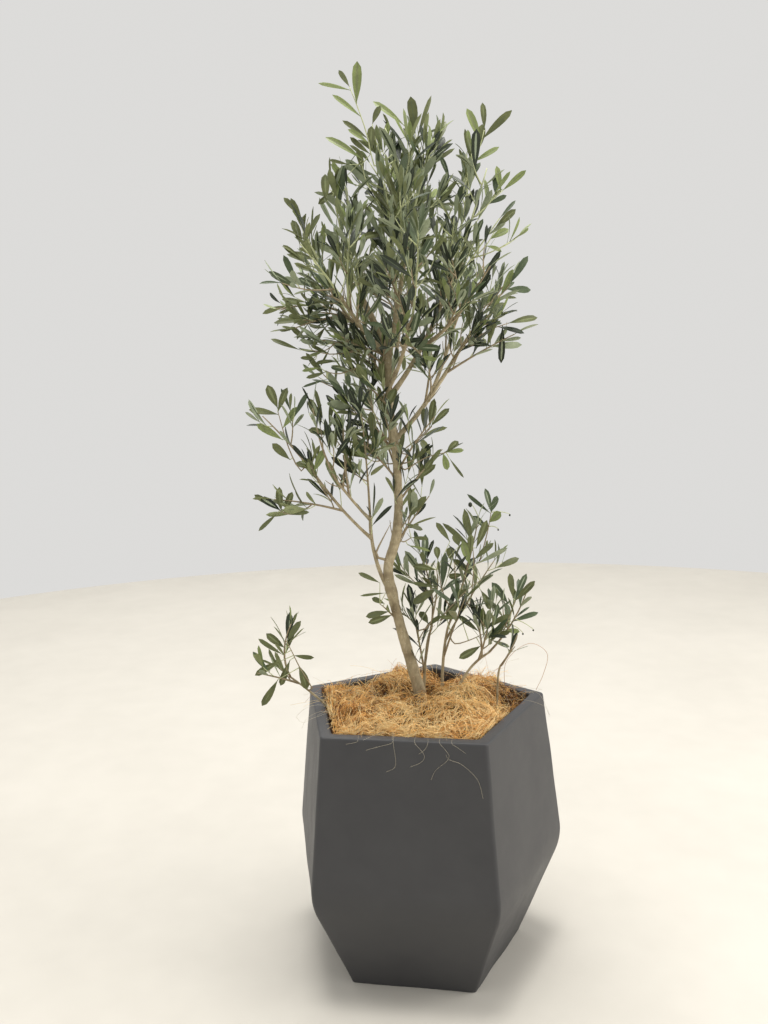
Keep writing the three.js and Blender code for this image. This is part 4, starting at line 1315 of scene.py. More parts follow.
# %% Places open to the sky
# x, z, radius and share
OPEN_SKY = [
    (-32, 1228, 36, 0.9), (-98, 1150, 24, 0.7), (-138, 1097, 24, 0.8), (128, 1175, 26, 0.85),
    (153, 1100, 34, 0.85), (126, 1026, 34, 0.85), (169, 983, 34, 0.9), (155, 868, 28, 0.9),
    (-148, 864, 28, 0.8), (-118, 846, 20, 0.3), (-84, 746, 20, 0.5), (53, 797, 26, 0.8),
    (42, 708, 34, 0.9), (20, 660, 26, 0.8), (70, 650, 20, 0.8), (130, 615, 22, 0.8),
    (175, 568, 26, 0.85), (165, 485, 28, 0.85), (-208, 698, 20, 0.6), (58, 1140, 16, 0.7),
    (66, 1175, 20, 0.95), (-40, 1150, 16, 0.5), (140, 1076, 22, 0.8), (170, 1051, 22, 0.85),
    (108, 1015, 22, 0.6), (168, 911, 26, 0.9), (53, 1062, 16, 0.5), (-150, 821, 18, 0.6),
    (-114, 722, 20, 0.6), (47, 762, 20, 0.7), (49, 650, 18, 0.6), (183, 540, 26, 0.85),
    (123, 1147, 26, 0.85), (153, 1166, 34, 0.95), (-111, 1129, 18, 0.7), (-225, 813, 20, 0.7),
    (20, 517, 16, 0.5), (-27, 1260, 34, 1.0), (0, 1236, 30, 0.9), (60, 1215, 30, 0.9),
    (-5, 1198, 24, 0.75), (44, 1192, 22, 0.75), (-90, 1136, 18, 0.75), (-122, 1075, 18, 0.6),
    (41, 889, 20, 0.6), (31, 824, 18, 0.6), (113, 1023, 18, 0.5), (81, 1172, 18, 0.7),
    (152, 1122, 22, 0.8), (152, 1067, 18, 0.7), (70, 571, 24, 0.5), (8, 633, 18, 0.7),
    (-203, 506, 24, 0.85), (-163, 504, 22, 0.9), (-186, 776, 40, 0.5), (-140, 770, 30, 0.45),
    (150, 560, 40, 0.6), (100, 590, 30, 0.4), (-60, 1212, 24, 0.8), (-66, 545, 36, 0.9),
    (33, 828, 20, 0.8), (50, 775, 20, 0.8), (-110, 745, 22, 0.6), (-58, 682, 26, 0.8),
    (-108, 1152, 26, 0.85), (-29, 1202, 22, 0.75), (82, 1202, 18, 0.7), (-180, 1062, 20, 0.8),
    (-176, 1013, 18, 0.7), (52, 1070, 18, 0.6), (113, 1048, 22, 0.8), (134, 1010, 20, 0.7),
    (-93, 991, 20, 0.5), (162, 984, 22, 0.8), (63, 918, 18, 0.6), (-64, 790, 30, 0.35),
    (-101, 730, 22, 0.6), (31, 816, 22, 0.8), (-83, 965, 20, 0.5), (13, 606, 26, 0.6),
    (-222, 466, 20, 0.7), (-238, 412, 18, 0.6), (-97, 1131, 20, 0.5), (19, 479, 28, 0.75),
    (94, 653, 22, 0.6), (146, 495, 24, 0.6), (44, 472, 34, 0.7), (75, 540, 50, 0.4),
]
CORE = 0.72


def sky_share(point):
    """How open a place is: share * exp(-(distance / radius) to the fourth), the largest over
    the open places, where the camera sees the point on the upright plane."""
    camera_place = np.array(CAMERA_PLACE)
    seen = camera_place - (point - camera_place) * camera_place[1] / (point[1] - camera_place[1])
    chance = 0.0
    for x, z, radius, share in OPEN_SKY:
        away = math.hypot(seen[0] - x * MM, seen[2] - z * MM) / (radius * MM)
        chance = max(chance, share * math.exp(-(away**4)))
    return chance


def level(point):
    """How far out a point is: 0 in the middle of an egg shape, 1 on its skin, for the egg shape
    that it is deepest in."""
    off = point - middles
    along = (off * axes).sum(1)
    beside = (off * off).sum(1) - along**2
    return math.sqrt(((along / halves) ** 2 + beside / girths**2).min())


def in_core(point):
    """True in the inner part of the crown, where any egg shape drawn in by a factor holds."""
    return level(point) <= CORE


print("open places:", len(OPEN_SKY))

# %% [markdown]
# ## How the twigs branch
# Side twigs leave a stem at even steps, each a golden turn on from the last. A twig leans out
# and then lifts towards the stem's own heading, and is as long as its space lets it be. The
# plain solids stop there. Here the same rule runs again on the stem between its twigs and on
# every twig, with shorter steps, down to shoots as thin as a leaf stalk. Each mass draws from
# a row of numbers of its own, so that it grows the same in every run.

# %% Twigs
GOLDEN = 2.4
QUARTER = math.pi / 2
TWIG_EVERY = 34 * MM
TWIG_FIRST = 0.45
TWIG_LAST = 0.2
TWIG_LEAN = (0.85, 1.15)
TWIG_LIFT = 0.5
TWIG_SHORTEST = 14 * MM
TWIG_STEP = 4 * MM
TWIG_STANDOFF = 20 * MM
TWIG_TRIES = 6
TWIG_POINTS = 9
SHOOT_STANDOFF = 6 * MM
LIMB_CLEARANCE = 5 * MM
FIRST_STATE = 7919
DRAW_FACTOR = 48271
DRAW_RANGE = 2147483647
SHOOT_EVERY = 30 * MM
SHOOT_LEAN = (0.6, 0.95)
SHOOT_LONGEST = 56 * MM
SHOOT_LENGTHS = (0.5, 1.0)
SHOOT_SHRINK = (1.1, 0.6)
SHOOT_RISE = 0.35
OUTER_SHARE = 0.4
SPUR_EVERY = 16 * MM
SPUR_BARE_SHARE = 0.6
BARE = 1.0
SHOOT_SHORTEST = 10 * MM
STEM_STOPS = 0.6
STEM_LEAST = 4
WOOD_STEPS = 60
TWIG_CLEARS = 0.4
SHOOT_CLEARS = 0.5
SPUR_SEEDS = 500
# radii at the foot and the tip, and the share of the length that carries no leaves
STEM_KIND = ((1.9 * MM, 0.75 * MM), 0.3)
TWIG_KIND = ((1.15 * MM, 0.6 * MM), 0.25)
SHOOT_KIND = ((0.75 * MM, 0.45 * MM), 0.2)
SPUR_KIND = ((0.75 * MM, 0.45 * MM), 0.35)
BARE_SPUR_KIND = ((1.05 * MM, 0.4 * MM), BARE)
SPRIG_KIND = ((1.15 * MM, 0.6 * MM), BARE)
STALK_KIND = ((0.75 * MM, 0.45 * MM), BARE)


def seeded(index):
    """Numbers between low and high: state = state * factor mod range, divided by the range."""
    state = FIRST_STATE * (index + 1)

    def draw(low=0.0, high=1.0):
        nonlocal state
        state = (state * DRAW_FACTOR) % DRAW_RANGE
        return low + (high - low) * state / DRAW_RANGE

    return draw


def turned_away(direction, turn, lean):
    """cos(lean) direction + sin(lean) out, where out is a unit vector square to the direction,
    turned round it from one that lies level."""
    helper = UP if abs(direction[2]) < 0.9 else np.array([1.0, 0.0, 0.0])
    side = unit(np.cross(helper, direction))
    face = np.cross(direction, side)
    out = side * math.cos(turn) + face * math.sin(turn)
    return direction * math.cos(lean) + out * math.sin(lean)


wood_places = np.concatenate([line.at(np.linspace(0, 1, WOOD_STEPS)) for line in lines.values()])


def clear_of_wood(line, foot_share):
    """True if the outer part of a twig stays a few millimetres away from every limb."""
    places = line.at(np.linspace(foot_share, 1, 6))
    apart = np.linalg.norm(places[:, None] - wood_places[None], axis=-1)
    return bool(apart.min() > LIMB_CLEARANCE)


def side_twig(holds, parent, share, turn, lean, longest, standoff, rise=0.0):
    """Grows by small steps along its first heading while its space still holds what is ahead,
    then bends half way towards its parent's heading, and upwards by the rise."""
    start, heading = parent.at(share), parent.heading(share)
    out = turned_away(heading, turn, lean)
    lifted = unit(out + (heading - out) * TWIG_LIFT + UP * rise)
    long = min(TWIG_SHORTEST, longest)
    while long < longest and holds(start + out * (long + standoff)):
        long += TWIG_STEP
    bend = start + out * long / 2
    return bend_line(start, bend, bend + lifted * long / 2, TWIG_POINTS)


def stem_twigs(space, draw):
    """The side twigs that the plain solids also have."""
    twigs = []
    count = max(2, round(space.stem.length / TWIG_EVERY))
    first_turn = draw() * 2 * math.pi
    for i in range(count):
        share = (i + TWIG_FIRST) / (count + TWIG_LAST)
        lean = draw(*TWIG_LEAN)
        for tries in range(TWIG_TRIES):
            turn = first_turn + GOLDEN * i + tries
            twig = side_twig(
                space.holds, space.stem, share, turn, lean, space.girth, TWIG_STANDOFF
            )
            if space.holds(twig.points[-1]) and clear_of_wood(twig, TWIG_CLEARS):
                twigs.append(twig)
                break
    return twigs


def fine_shoots(parent, draw, every, longest, first=0.3):
    """Short shoots along a stem or twig, at golden turns, shorter towards its tip."""
    shoots = []
    count = int(parent.length * (1 - first) / every)
    turn = draw() * 2 * math.pi
    for i in range(count):
        share = first + (1 - first) * (i + 0.5) / count
        lean = draw(*SHOOT_LEAN)
        long = longest * draw(*SHOOT_LENGTHS) * (SHOOT_SHRINK[0] - SHOOT_SHRINK[1] * share)
        if long < SHOOT_SHORTEST:
            continue
        for tries in range(TWIG_TRIES):
            about = turn + GOLDEN * i + tries
            shoot = side_twig(
                in_core, parent, share, about, lean, long, SHOOT_STANDOFF, SHOOT_RISE
            )
            if in_core(shoot.points[-1]) and clear_of_wood(shoot, SHOOT_CLEARS):
                if draw() >= sky_share(shoot.points[-1]):
                    shoots.append(shoot)
                break
    return shoots


grown = []
sprays = 0
for space in spaces:
    draw = seeded(space.index)
    twigs = stem_twigs(space, draw)
    shares = [sky_share(point) for point in space.stem.points]
    lasts = max(k for k, share in enumerate(shares) if share < STEM_STOPS or k < STEM_LEAST)
    grown.append((Line(space.stem.points[: lasts + 1]), *STEM_KIND, sprays))
    for shoot in fine_shoots(space.stem, draw, SHOOT_EVERY, SHOOT_LONGEST, first=0.2):
        grown.append((shoot, *SHOOT_KIND, sprays))
    sprays += 1
    for twig in twigs:
        foot, tip = twig.points[0], twig.points[-1]
        if level(tip) > CORE and draw() > OUTER_SHARE:
            continue
        if draw() < sky_share(tip) or sky_share(foot) > STEM_STOPS:
            continue
        grown.append((twig, *TWIG_KIND, sprays))
        for shoot in fine_shoots(twig, draw, SHOOT_EVERY, SHOOT_LONGEST * 0.8):
            grown.append((shoot, *SHOOT_KIND, sprays))
        sprays += 1
for index, name in enumerate([*LIMBS, "trunk"]):
    if name.startswith("sucker"):
        continue
    draw = seeded(SPUR_SEEDS + index)
    for spur in fine_shoots(lines[name], draw, SPUR_EVERY, SHOOT_LONGEST, first=0.4):
        kind = BARE_SPUR_KIND if draw() < SPUR_BARE_SHARE else SPUR_KIND
        grown.append((spur, *kind, sprays))
    sprays += 1
print("twigs:", len(grown), "sprays:", sprays)

# %% [markdown]
# ## Leaves
# An olive leaf is narrow and leathery, widest a little past its middle, with a short point and
# a long taper into its stalk. It is dark grey-green above, silvery below, and slightly folded
# along a pale midrib. Leaves stand in opposite pairs, each pair a quarter turn on from the
# last, and lean forwards. Here each leaf is a flat tube of eight rings with eight places round
# it: four on the upper side, two edges and two below.

# %% Leaf places
LEAF_SEEDS = 1000
LEAF_LENGTHS = (28 * MM, 56 * MM)
LEAF_SLENDER = (0.16, 0.23)
LEAF_SPACING = (18.5 * MM, 21 * MM, 25.5 * MM)
LEAF_SPACING_HEIGHTS = (0.6, 0.7, 0.8)
LEAF_SPREAD = (0.5, 0.95)
LEAF_TIP_SPREAD = 0.6
LEAF_AHEAD = 0.12
LEAF_STEP = 0.7
LEAF_EASE = 1.06
OUTER_PAIRS = 0.7
LEAF_RISE = 0.28
YOUNG_SHARE = 0.62
YOUNG_DRAW = (0.4, 1.0)
LEAF_TRIES = 4
LEAF_THICK = 0.45 * MM
LEAF_TWIST = 0.45
SPRIG_TWIST = 0.16
LEAF_HEIGHTS = (0.75, 0.95, 1.2)
LEAF_GROWTH = (0.95, 0.93, 1.12)


def leaf_places(line, bare, spray, draw):
    """Rows of (root, along, upper face, length, width, spray, youth, twist) for one twig."""
    if bare == BARE:
        return []
    every = np.interp(line.points[-1][2], LEAF_SPACING_HEIGHTS, LEAF_SPACING)
    pairs = max(1, int(line.length * (1 - bare) / every))
    first_turn = draw() * 2 * math.pi
    found = []
    for i in range(pairs + 1):
        last = i == pairs
        share = min(bare + (1 - bare) * (i + 0.5) / (pairs + 0.5), 1.0)
        root, heading = line.at(share), line.heading(share)
        if not last and level(root) > CORE and draw() > OUTER_PAIRS:
            continue
        for half in (0, math.pi, None) if last else (0, math.pi):
            size = draw(*LEAF_LENGTHS) * (1 - (1 - YOUNG_SHARE) * last * draw(*YOUNG_DRAW))
            size *= np.interp(root[2], LEAF_HEIGHTS, LEAF_GROWTH)
            spread = draw(*LEAF_SPREAD) * (LEAF_TIP_SPREAD if last else 1)
            slender = draw(*LEAF_SLENDER)
            lean = LEAF_AHEAD if half is None else spread
            for tries in range(LEAF_TRIES):
                turn = first_turn + QUARTER * i + (half or 0) + LEAF_STEP * tries
                along = unit(turned_away(heading, turn, lean) + UP * LEAF_RISE)
                if level(root + along * size) > LEAF_EASE:
                    continue
                if draw() < sky_share(root + along * size / 2):
                    break
                out = unit(turned_away(heading, turn, QUARTER))
                face = heading * math.sin(lean) - out * math.cos(lean)
                face = unit(face - along * (face @ along))
                found.append((root, along, face, size, size * slender, spray, last, LEAF_TWIST))
                break
    return found


leaf_rows = []
for number, (line, _, bare, spray) in enumerate(grown):
    leaf_rows += leaf_places(line, bare, spray, seeded(LEAF_SEEDS + number))
print("leaves:", len(leaf_rows))

# %% [markdown]
# The sprigs that make the crown's outline against the sky are listed: their depth, the
# places of their stems, and of each leaf its root, its tip and its width, in mm. A sprig's
# stem starts on the nearest twig that has grown, and a leaf whose root is off the stem gets a
# stalk.

# %% Sprigs on the outline
SPRIGS = [
    (-15, [(-40, 1132), (-51, 1177), (-65, 1219), (-72, 1237)],
     [(-65, 1215, -60, 1267, 13), (-72, 1237, -85, 1260, 7), (-71, 1232, -113, 1247, 6),
      (-61, 1196, -94, 1230, 8), (-52, 1171, -82, 1197, 7), (-48, 1166, -76, 1183, 8),
      (-49, 1155, -43, 1186, 11)]),
    (-5, [(-29, 1144), (-39, 1170), (-43, 1191)],
     [(-43, 1191, -33, 1214, 10), (-28, 1157, -22, 1192, 8)]),
    (10, [(31, 1122), (21, 1156), (15, 1181)],
     [(1, 1191, -40, 1229, 9), (15, 1182, 12, 1228, 14), (20, 1172, 37, 1232, 6),
      (36, 1156, 57, 1202, 14), (23, 1159, 0, 1191, 9), (31, 1133, 69, 1166, 6)]),
    (-22, [(75, 1091), (86, 1124), (99, 1151), (106, 1175)],
     [(98, 1160, 85, 1206, 11), (106, 1175, 106, 1210, 8), (99, 1150, 105, 1184, 11),
      (106, 1162, 141, 1199, 10), (89, 1133, 79, 1177, 7), (92, 1134, 126, 1154, 8)]),
    (-6, [(-74, 1077), (-90, 1093), (-103, 1107)],
     [(-109, 1091, -111, 1130, 12), (-81, 1109, -101, 1144, 8), (-95, 1107, -120, 1088, 8),
      (-58, 1145, -103, 1180, 10)]),
    (-12, [(-118, 1011), (-138, 1044), (-147, 1070)],
     [(-146, 1074, -164, 1097, 8), (-143, 1034, -156, 1069, 11), (-140, 1041, -122, 1075, 8)]),
    (-34, [(92, 1062), (114, 1082), (129, 1095)],
     [(127, 1094, 159, 1119, 8), (119, 1086, 118, 1118, 8), (108, 1077, 133, 1087, 7),
      (117, 1090, 138, 1118, 6), (124, 1094, 121, 1127, 8)]),
    (-20, [(84, 1004), (106, 1025), (118, 1043)],
     [(118, 1047, 148, 1072, 10), (115, 1032, 138, 1049, 11), (106, 1025, 129, 1019, 8)]),
    (20, [(101, 942), (130, 961), (144, 977)],
     [(142, 980, 170, 1016, 10), (140, 969, 175, 969, 12), (130, 961, 150, 996, 9)]),
    (10, [(85, 898), (114, 914), (139, 922)],
     [(140, 922, 183, 932, 10), (131, 919, 131, 866, 10), (125, 917, 161, 912, 9)]),
    (-18, [(-155, 409), (-171, 439), (-183, 467), (-190, 482)],
     [(-184, 474, -184, 520, 11), (-188, 480, -170, 509, 10), (-192, 470, -217, 493, 11),
      (-195, 460, -231, 482, 7), (-198, 451, -238, 434, 10), (-185, 452, -203, 410, 10),
      (-175, 444, -159, 409, 13), (-181, 459, -152, 455, 7), (-204, 423, -229, 382, 11)]),
    (-22, [(-159, 727), (-174, 761), (-186, 809)],
     [(-186, 814, -197, 846, 13), (-184, 812, -173, 842, 10), (-189, 806, -226, 816, 10),
      (-181, 770, -217, 793, 11), (-172, 742, -196, 765, 11), (-181, 787, -159, 814, 10)]),
    (-20, [(-159, 665), (-179, 665), (-190, 671)],
     [(-187, 670, -191, 703, 11), (-190, 668, -215, 692, 11), (-198, 676, -224, 695, 8),
      (-184, 665, -173, 696, 10), (-194, 666, -221, 644, 6), (-176, 664, -150, 669, 7)]),
    (-24, [(-118, 684), (-134, 710), (-143, 733)],
     [(-134, 713, -150, 745, 13), (-139, 724, -123, 754, 11), (-142, 727, -164, 739, 10)]),
    (0, [(-11, 721), (18, 737), (48, 744)],
     [(48, 744, 66, 760, 10), (49, 742, 73, 748, 7), (45, 740, 50, 720, 10), (52, 736, 70, 707, 4),
      (28, 739, 11, 763, 11), (33, 741, 16, 720, 9)]),
    (-4, [(-15, 747), (11, 767), (27, 782)],
     [(28, 784, 54, 807, 10), (25, 779, 32, 821, 10), (20, 774, 18, 808, 10)]),
    (-4, [(-24, 635), (-13, 646), (-6, 658)],
     [(-6, 650, 16, 683, 11), (-9, 658, -4, 696, 8), (-13, 643, 14, 634, 7)]),
    (14, [(95, 584), (107, 628), (112, 654)],
     [(110, 657, 105, 688, 9), (112, 657, 122, 677, 9), (109, 652, 78, 680, 6),
      (107, 640, 126, 654, 13), (104, 628, 87, 649, 9)]),
    (-4, [(120, 468), (135, 505), (143, 527)],
     [(144, 524, 171, 556, 10), (144, 527, 159, 565, 9), (140, 530, 135, 569, 10),
      (133, 522, 111, 555, 11), (138, 495, 177, 508, 8), (126, 483, 150, 479, 8)]),
    (8, [(79, 520), (85, 574), (84, 606)],
     [(84, 608, 72, 661, 10), (89, 603, 104, 644, 11), (83, 598, 46, 643, 8),
      (87, 586, 113, 611, 9), (84, 563, 58, 589, 11)]),
    (-20, [(-80, 888), (-111, 886), (-135, 892)],
     [(-152, 893, -193, 909, 7), (-143, 905, -162, 924, 8), (-131, 879, -152, 882, 7),
      (-100, 876, -133, 877, 7), (-111, 886, -138, 898, 6)]),
    (-26, [(-76, 866), (-98, 859), (-117, 862)],
     [(-125, 868, -150, 863, 6), (-116, 865, -144, 853, 6), (-116, 852, -152, 842, 4),
      (-117, 854, -92, 832, 7), (-90, 861, -111, 870, 6), (-85, 839, -88, 858, 7),
      (-46, 832, -70, 855, 7)]),
    (-16, [(-86, 727), (-95, 750), (-107, 767), (-120, 787)],
     [(-126, 793, -144, 824, 11), (-124, 796, -134, 839, 6), (-118, 775, -144, 784, 11),
      (-116, 788, -111, 824, 7), (-97, 773, -106, 806, 10), (-108, 756, -111, 781, 10),
      (-90, 767, -87, 792, 10)]),
    (-12, [(-40, 765), (-57, 757), (-74, 749)],
     [(-65, 740, -105, 758, 11), (-53, 765, -79, 780, 7), (-36, 807, -24, 837, 13),
      (-57, 771, -57, 805, 10)]),
    (6, [(19, 491), (29, 528), (32, 551), (31, 573)],
     [(28, 546, -5, 526, 13), (29, 549, -5, 553, 6), (27, 573, -3, 581, 11), (14, 582, 9, 599, 7),
      (33, 588, 31, 607, 10), (51, 614, 33, 643, 9), (64, 607, 59, 625, 13),
      (51, 587, 51, 605, 11)]),
    (2, [(34, 499), (56, 525), (78, 546), (95, 557)],
     [(65, 528, 43, 505, 12), (78, 546, 54, 532, 10), (69, 567, 48, 560, 9),
      (94, 542, 109, 515, 11), (80, 578, 67, 614, 11), (88, 522, 86, 495, 11)]),
    (-6, [(55, 465), (76, 470), (97, 479)],
     [(96, 520, 97, 487, 10), (90, 482, 61, 506, 8), (96, 485, 131, 510, 8),
      (101, 472, 135, 483, 8), (64, 503, 32, 506, 6), (108, 469, 134, 455, 7),
      (92, 461, 60, 444, 11)]),
    (10, [(1, 465), (11, 483), (17, 492)],
     [(20, 492, 7, 510, 11), (15, 486, 36, 503, 7)]),
    (-6, [(-36, 512), (-46, 522), (-53, 528)],
     [(-52, 559, -82, 577, 7), (-44, 544, -81, 543, 4), (-46, 528, -64, 537, 8),
      (-40, 516, -74, 512, 10), (-37, 508, -70, 499, 10)]),
    (-2, [(-17, 617), (-10, 620), (-5, 623)],
     [(-5, 623, 19, 622, 6), (-10, 612, 22, 606, 4), (-8, 637, 7, 641, 6)]),
    (-6, [(-41, 1092), (-54, 1118), (-59, 1139)],
     [(-68, 1111, -102, 1139, 9), (-76, 1139, -103, 1145, 5), (-47, 1152, -75, 1171, 8),
      (-54, 1128, -63, 1159, 9)]),
    (-4, [(55, 1060), (67, 1089), (77, 1107), (85, 1131)],
     [(60, 1115, 50, 1150, 7), (80, 1118, 78, 1152, 9), (88, 1115, 101, 1138, 7),
      (63, 1083, 47, 1116, 8), (66, 1076, 78, 1107, 8)]),
]
SPRIG_STEPS = 40
SPRIG_SEEDS = 3000
SPRIG_DEPTHS = (-9, 9)
SPRIG_YOUNG = 0.5
STALK_NEEDED = 4 * MM
FACES_VIEWER = np.array([0.0, -1.0, 0.45])
# x, y and z along the thin bare twig beside the trunk, in mm
PRUNED = [
    (-38, 0, 589), (-46, -7, 594), (-56, -9, 598), (-55, -10, 607), (-44, -12, 628),
    (-33, -14, 648),
]
PRUNED_KIND = ((2.4 * MM, 0.3 * MM), BARE)
# x, y, z and width, in mm
OLIVES = [
    (82, 14, 666, 7.5), (139, 14, 649, 3.4), (122, 14, 628, 3.2), (153, -10, 478, 3.4),
    (168, -10, 483, 3.2),
]
OLIVE_STALK_RISE = 4 * MM
grown_places = np.concatenate([line.points for line, *_ in grown] + [wood_places])


def nearest(places, point):
    """The place closest to a point."""
    return places[np.linalg.norm(places - point, axis=1).argmin()]


def straight(start, end, rise=0.0):
    """A stalk from one place to another, lifted a little in its middle."""
    return bend_line(start, (start + end) / 2 + UP * rise, end, TWIG_POINTS)


def sprig_rows(depth, places, blades, spray, draw):
    """Adds the sprig's stem and stalks to the twigs and returns its leaves. Each tip is a
    little nearer to or further from the viewer than its root."""
    stem = np.array([(x, depth, z) for x, z in places]) * MM
    start = nearest(grown_places, stem[0])
    line = Line(smooth_path(np.array([start, *stem]), SPRIG_STEPS))
    grown.append((line, *SPRIG_KIND, spray))
    found = []
    for x, z, tip_x, tip_z, width in blades:
        root = np.array([x, depth, z]) * MM
        tip = np.array([tip_x, depth + draw(*SPRIG_DEPTHS), tip_z]) * MM
        holds = nearest(line.points, root)
        if np.linalg.norm(holds - root) > STALK_NEEDED:
            grown.append((straight(holds, root), *STALK_KIND, spray))
        else:
            root = holds
        size = float(np.linalg.norm(tip - root))
        along = (tip - root) / size
        face = unit(FACES_VIEWER - along * (FACES_VIEWER @ along))
        youth = draw() < SPRIG_YOUNG
        found.append((root, along, face, size, width * MM, spray, youth, SPRIG_TWIST))
    return found


for number, sprig in enumerate(SPRIGS):
    leaf_rows += sprig_rows(*sprig, sprays, seeded(SPRIG_SEEDS + number))
    sprays += 1
grown.append((Line(smooth_path(np.array(PRUNED) * MM, SPRIG_STEPS)), *PRUNED_KIND, 0))
twig_places = np.concatenate([line.points for line, *_ in grown])
for *place, size in OLIVES:
    top = np.array(place) * MM + UP * (size / 2) * MM
    stalk = straight(nearest(twig_places, top), top, OLIVE_STALK_RISE)
    grown.append((stalk, *STALK_KIND, 0))
print("leaves with those of the outline:", len(leaf_rows))

# %% [markdown]
# The outline of a leaf is one formula: half width = s^0.9 (1 - s)^0.5, scaled so that its
# widest place is 1. A narrow stalk comes before it. Random twist, fold and curl keep leaves
# from looking stamped out.

# %% Leaf shape
LEAF_ROWS = np.array([0.0, 0.06, 0.17, 0.34, 0.52, 0.70, 0.87, 1.0])
STALK_SHARE = 0.06
STALK_WIDTH = 0.11
TIP_WIDTH = 0.05
LEAF_COLUMNS = np.array([1.0, 0.5, 0.06, -0.06, -0.5, -1.0, -0.5, 0.5])
LEAF_LEVELS = np.array([0.0, 0.5, 0.5, 0.5, 0.5, 0.0, -0.5, -0.5])
LEAF_FOLD = (0.05, 0.4)
LEAF_CURL = (-0.08, 0.26)
WIDE_POWER = 0.9
TIP_POWER = 0.5
LEAF_SWEEP = (-0.06, 0.06)
STALK_THICKER = 0.8
STALK_END = 0.1


def half_width(share):
    """s^0.9 (1 - s)^0.5 over its largest value, after a narrow stalk."""
    s = np.clip((share - STALK_SHARE) / (1 - STALK_SHARE), 0, 1)
    widest = WIDE_POWER / (WIDE_POWER + TIP_POWER)
    largest = widest**WIDE_POWER * (1 - widest) ** TIP_POWER
    blade = s**WIDE_POWER * (1 - s) ** TIP_POWER / largest
    return np.maximum(blade, np.where(share > 0.5, TIP_WIDTH, STALK_WIDTH))


def leaves(rows, seed):
    """Point = root + along L u + side (column half width + sweep L u^2) + face (fold |column|
    half width + level thickness - curl L u^2)."""
    draw = np.random.default_rng(seed)
    columns = [np.array(column) for column in zip(*rows)]
    root, along, face = columns[:3]
    length, width = (column[:, None, None] for column in columns[3:5])
    twist = columns[7][:, None] * draw.normal(size=(len(rows), 1))
    side = np.cross(face, along)
    turned = face * np.cos(twist) + side * np.sin(twist)
    side = side * np.cos(twist) - face * np.sin(twist)
    fold, curl, sweep = (
        draw.uniform(*ends, (len(rows), 1, 1)) for ends in (LEAF_FOLD, LEAF_CURL, LEAF_SWEEP)
    )
    u = LEAF_ROWS[None, :, None]
    half = half_width(LEAF_ROWS)[None, :, None] * width / 2
    across = LEAF_COLUMNS * half + sweep * length * u**2
    thick = LEAF_THICK * (1 + STALK_THICKER * (u < STALK_END))
    above = fold * np.abs(LEAF_COLUMNS) * half + LEAF_LEVELS * thick - curl * length * u**2
    points = (
        root[:, None, None]
        + along[:, None, None] * (length * u)[..., None]
        + side[:, None, None] * across[..., None]
        + turned[:, None, None] * above[..., None]
    )
    return points.reshape(-1, 3), *tube_faces(len(rows), len(LEAF_ROWS), len(LEAF_COLUMNS))


print("half widths along a leaf:", np.round(half_width(LEAF_ROWS), 2))

# %% [markdown]
# ## Leaf colours
# The upper side is dealt by spray: deep green, grey green, olive, or the yellow green of this
# year's growth, which is likelier high up and at the tips. Which tone a spray gets is shifted as
# painted light and shade: lighter on the left, at the top, low down and on the outline, darker on
# the right and in the middle of the crown, and single leaves near the crown's axis are deep green
# as painted shade. The underside and the midrib have colours of their own. Each is a plain tone
# with a slight mottle and a waxy sheen.

# %% Leaf finishes
LEAF_COLOURS = {
    # the deep green is a real leaf tone, and is also dealt as painted shade inside the crown and on
    # the right
    "leaf_deep_and_painted_shade": ((29, 37, 23), (43, 52, 32), (0.4, 0.52)),
    "leaf_grey": ((62, 75, 50), (87, 100, 69), (0.4, 0.52)),
    "leaf_olive": ((84, 89, 54), (108, 113, 68), (0.42, 0.54)),
    "leaf_young": ((118, 130, 76), (140, 152, 94), (0.4, 0.52)),
    "leaf_under": ((138, 148, 120), (162, 171, 142), (0.6, 0.75)),
    "leaf_under_olive": ((114, 121, 82), (134, 141, 98), (0.6, 0.75)),
    "leaf_midrib": ((80, 92, 66), (96, 108, 78), (0.45, 0.6)),
}
DEEP_AND_PAINTED_SHADE, GREY, OLIVE, YOUNG, UNDER, UNDER_OLIVE, MIDRIB = range(len(LEAF_COLOURS))
UPPER_FACETS = np.array([1, 1, 0, 1, 1, 0, 0, 0], dtype=bool)
UNDER_FACETS = np.array([0, 0, 0, 0, 0, 1, 1, 1], dtype=bool)
PIECE_LEAVES = 1500
DEEP_BELOW = 0.42
GREY_BELOW = 0.74
# painted light on the left of the crown and painted shade on its right
PAINTED_LIGHT_LEFT = 1.5
# painted light: the sprigs on the outline lean to the lighter tones
SPRIG_PAINTED_LIGHT = (0.55, 0.45)
YOUNG_CHANCES = (0.25, 0.5)
YOUNG_ABOVE = 1.08
# painted shade: leaves nearer the crown's axis are likelier deep green
CROWN_REACH = 150 * MM
INNER_PAINTED_SHADE = 0.7
OUTER_PAINTED_SHADE = 0.08
SPRIG_PAINTED_SHADE = 0.03
ALWAYS_OLIVE = 0.1
# painted light at the top and low down, painted shade in the crown's middle
PAINTED_LIGHT_HEIGHTS = (0.45, 0.7, 0.95, 1.2)
PAINTED_LIGHT_SHIFTS = (0.12, 0.05, -0.08, 0.1)
foliage_nodes = [node for node in nodes if node.startswith("leaves_")]
leaf_finishes = []
for name, colours in LEAF_COLOURS.items():
    bump = 0.0 if name == "leaf_midrib" else 0.00006
    leaf_finishes.append(finish(name, *colours, 70.0, 2400.0, bump=bump))


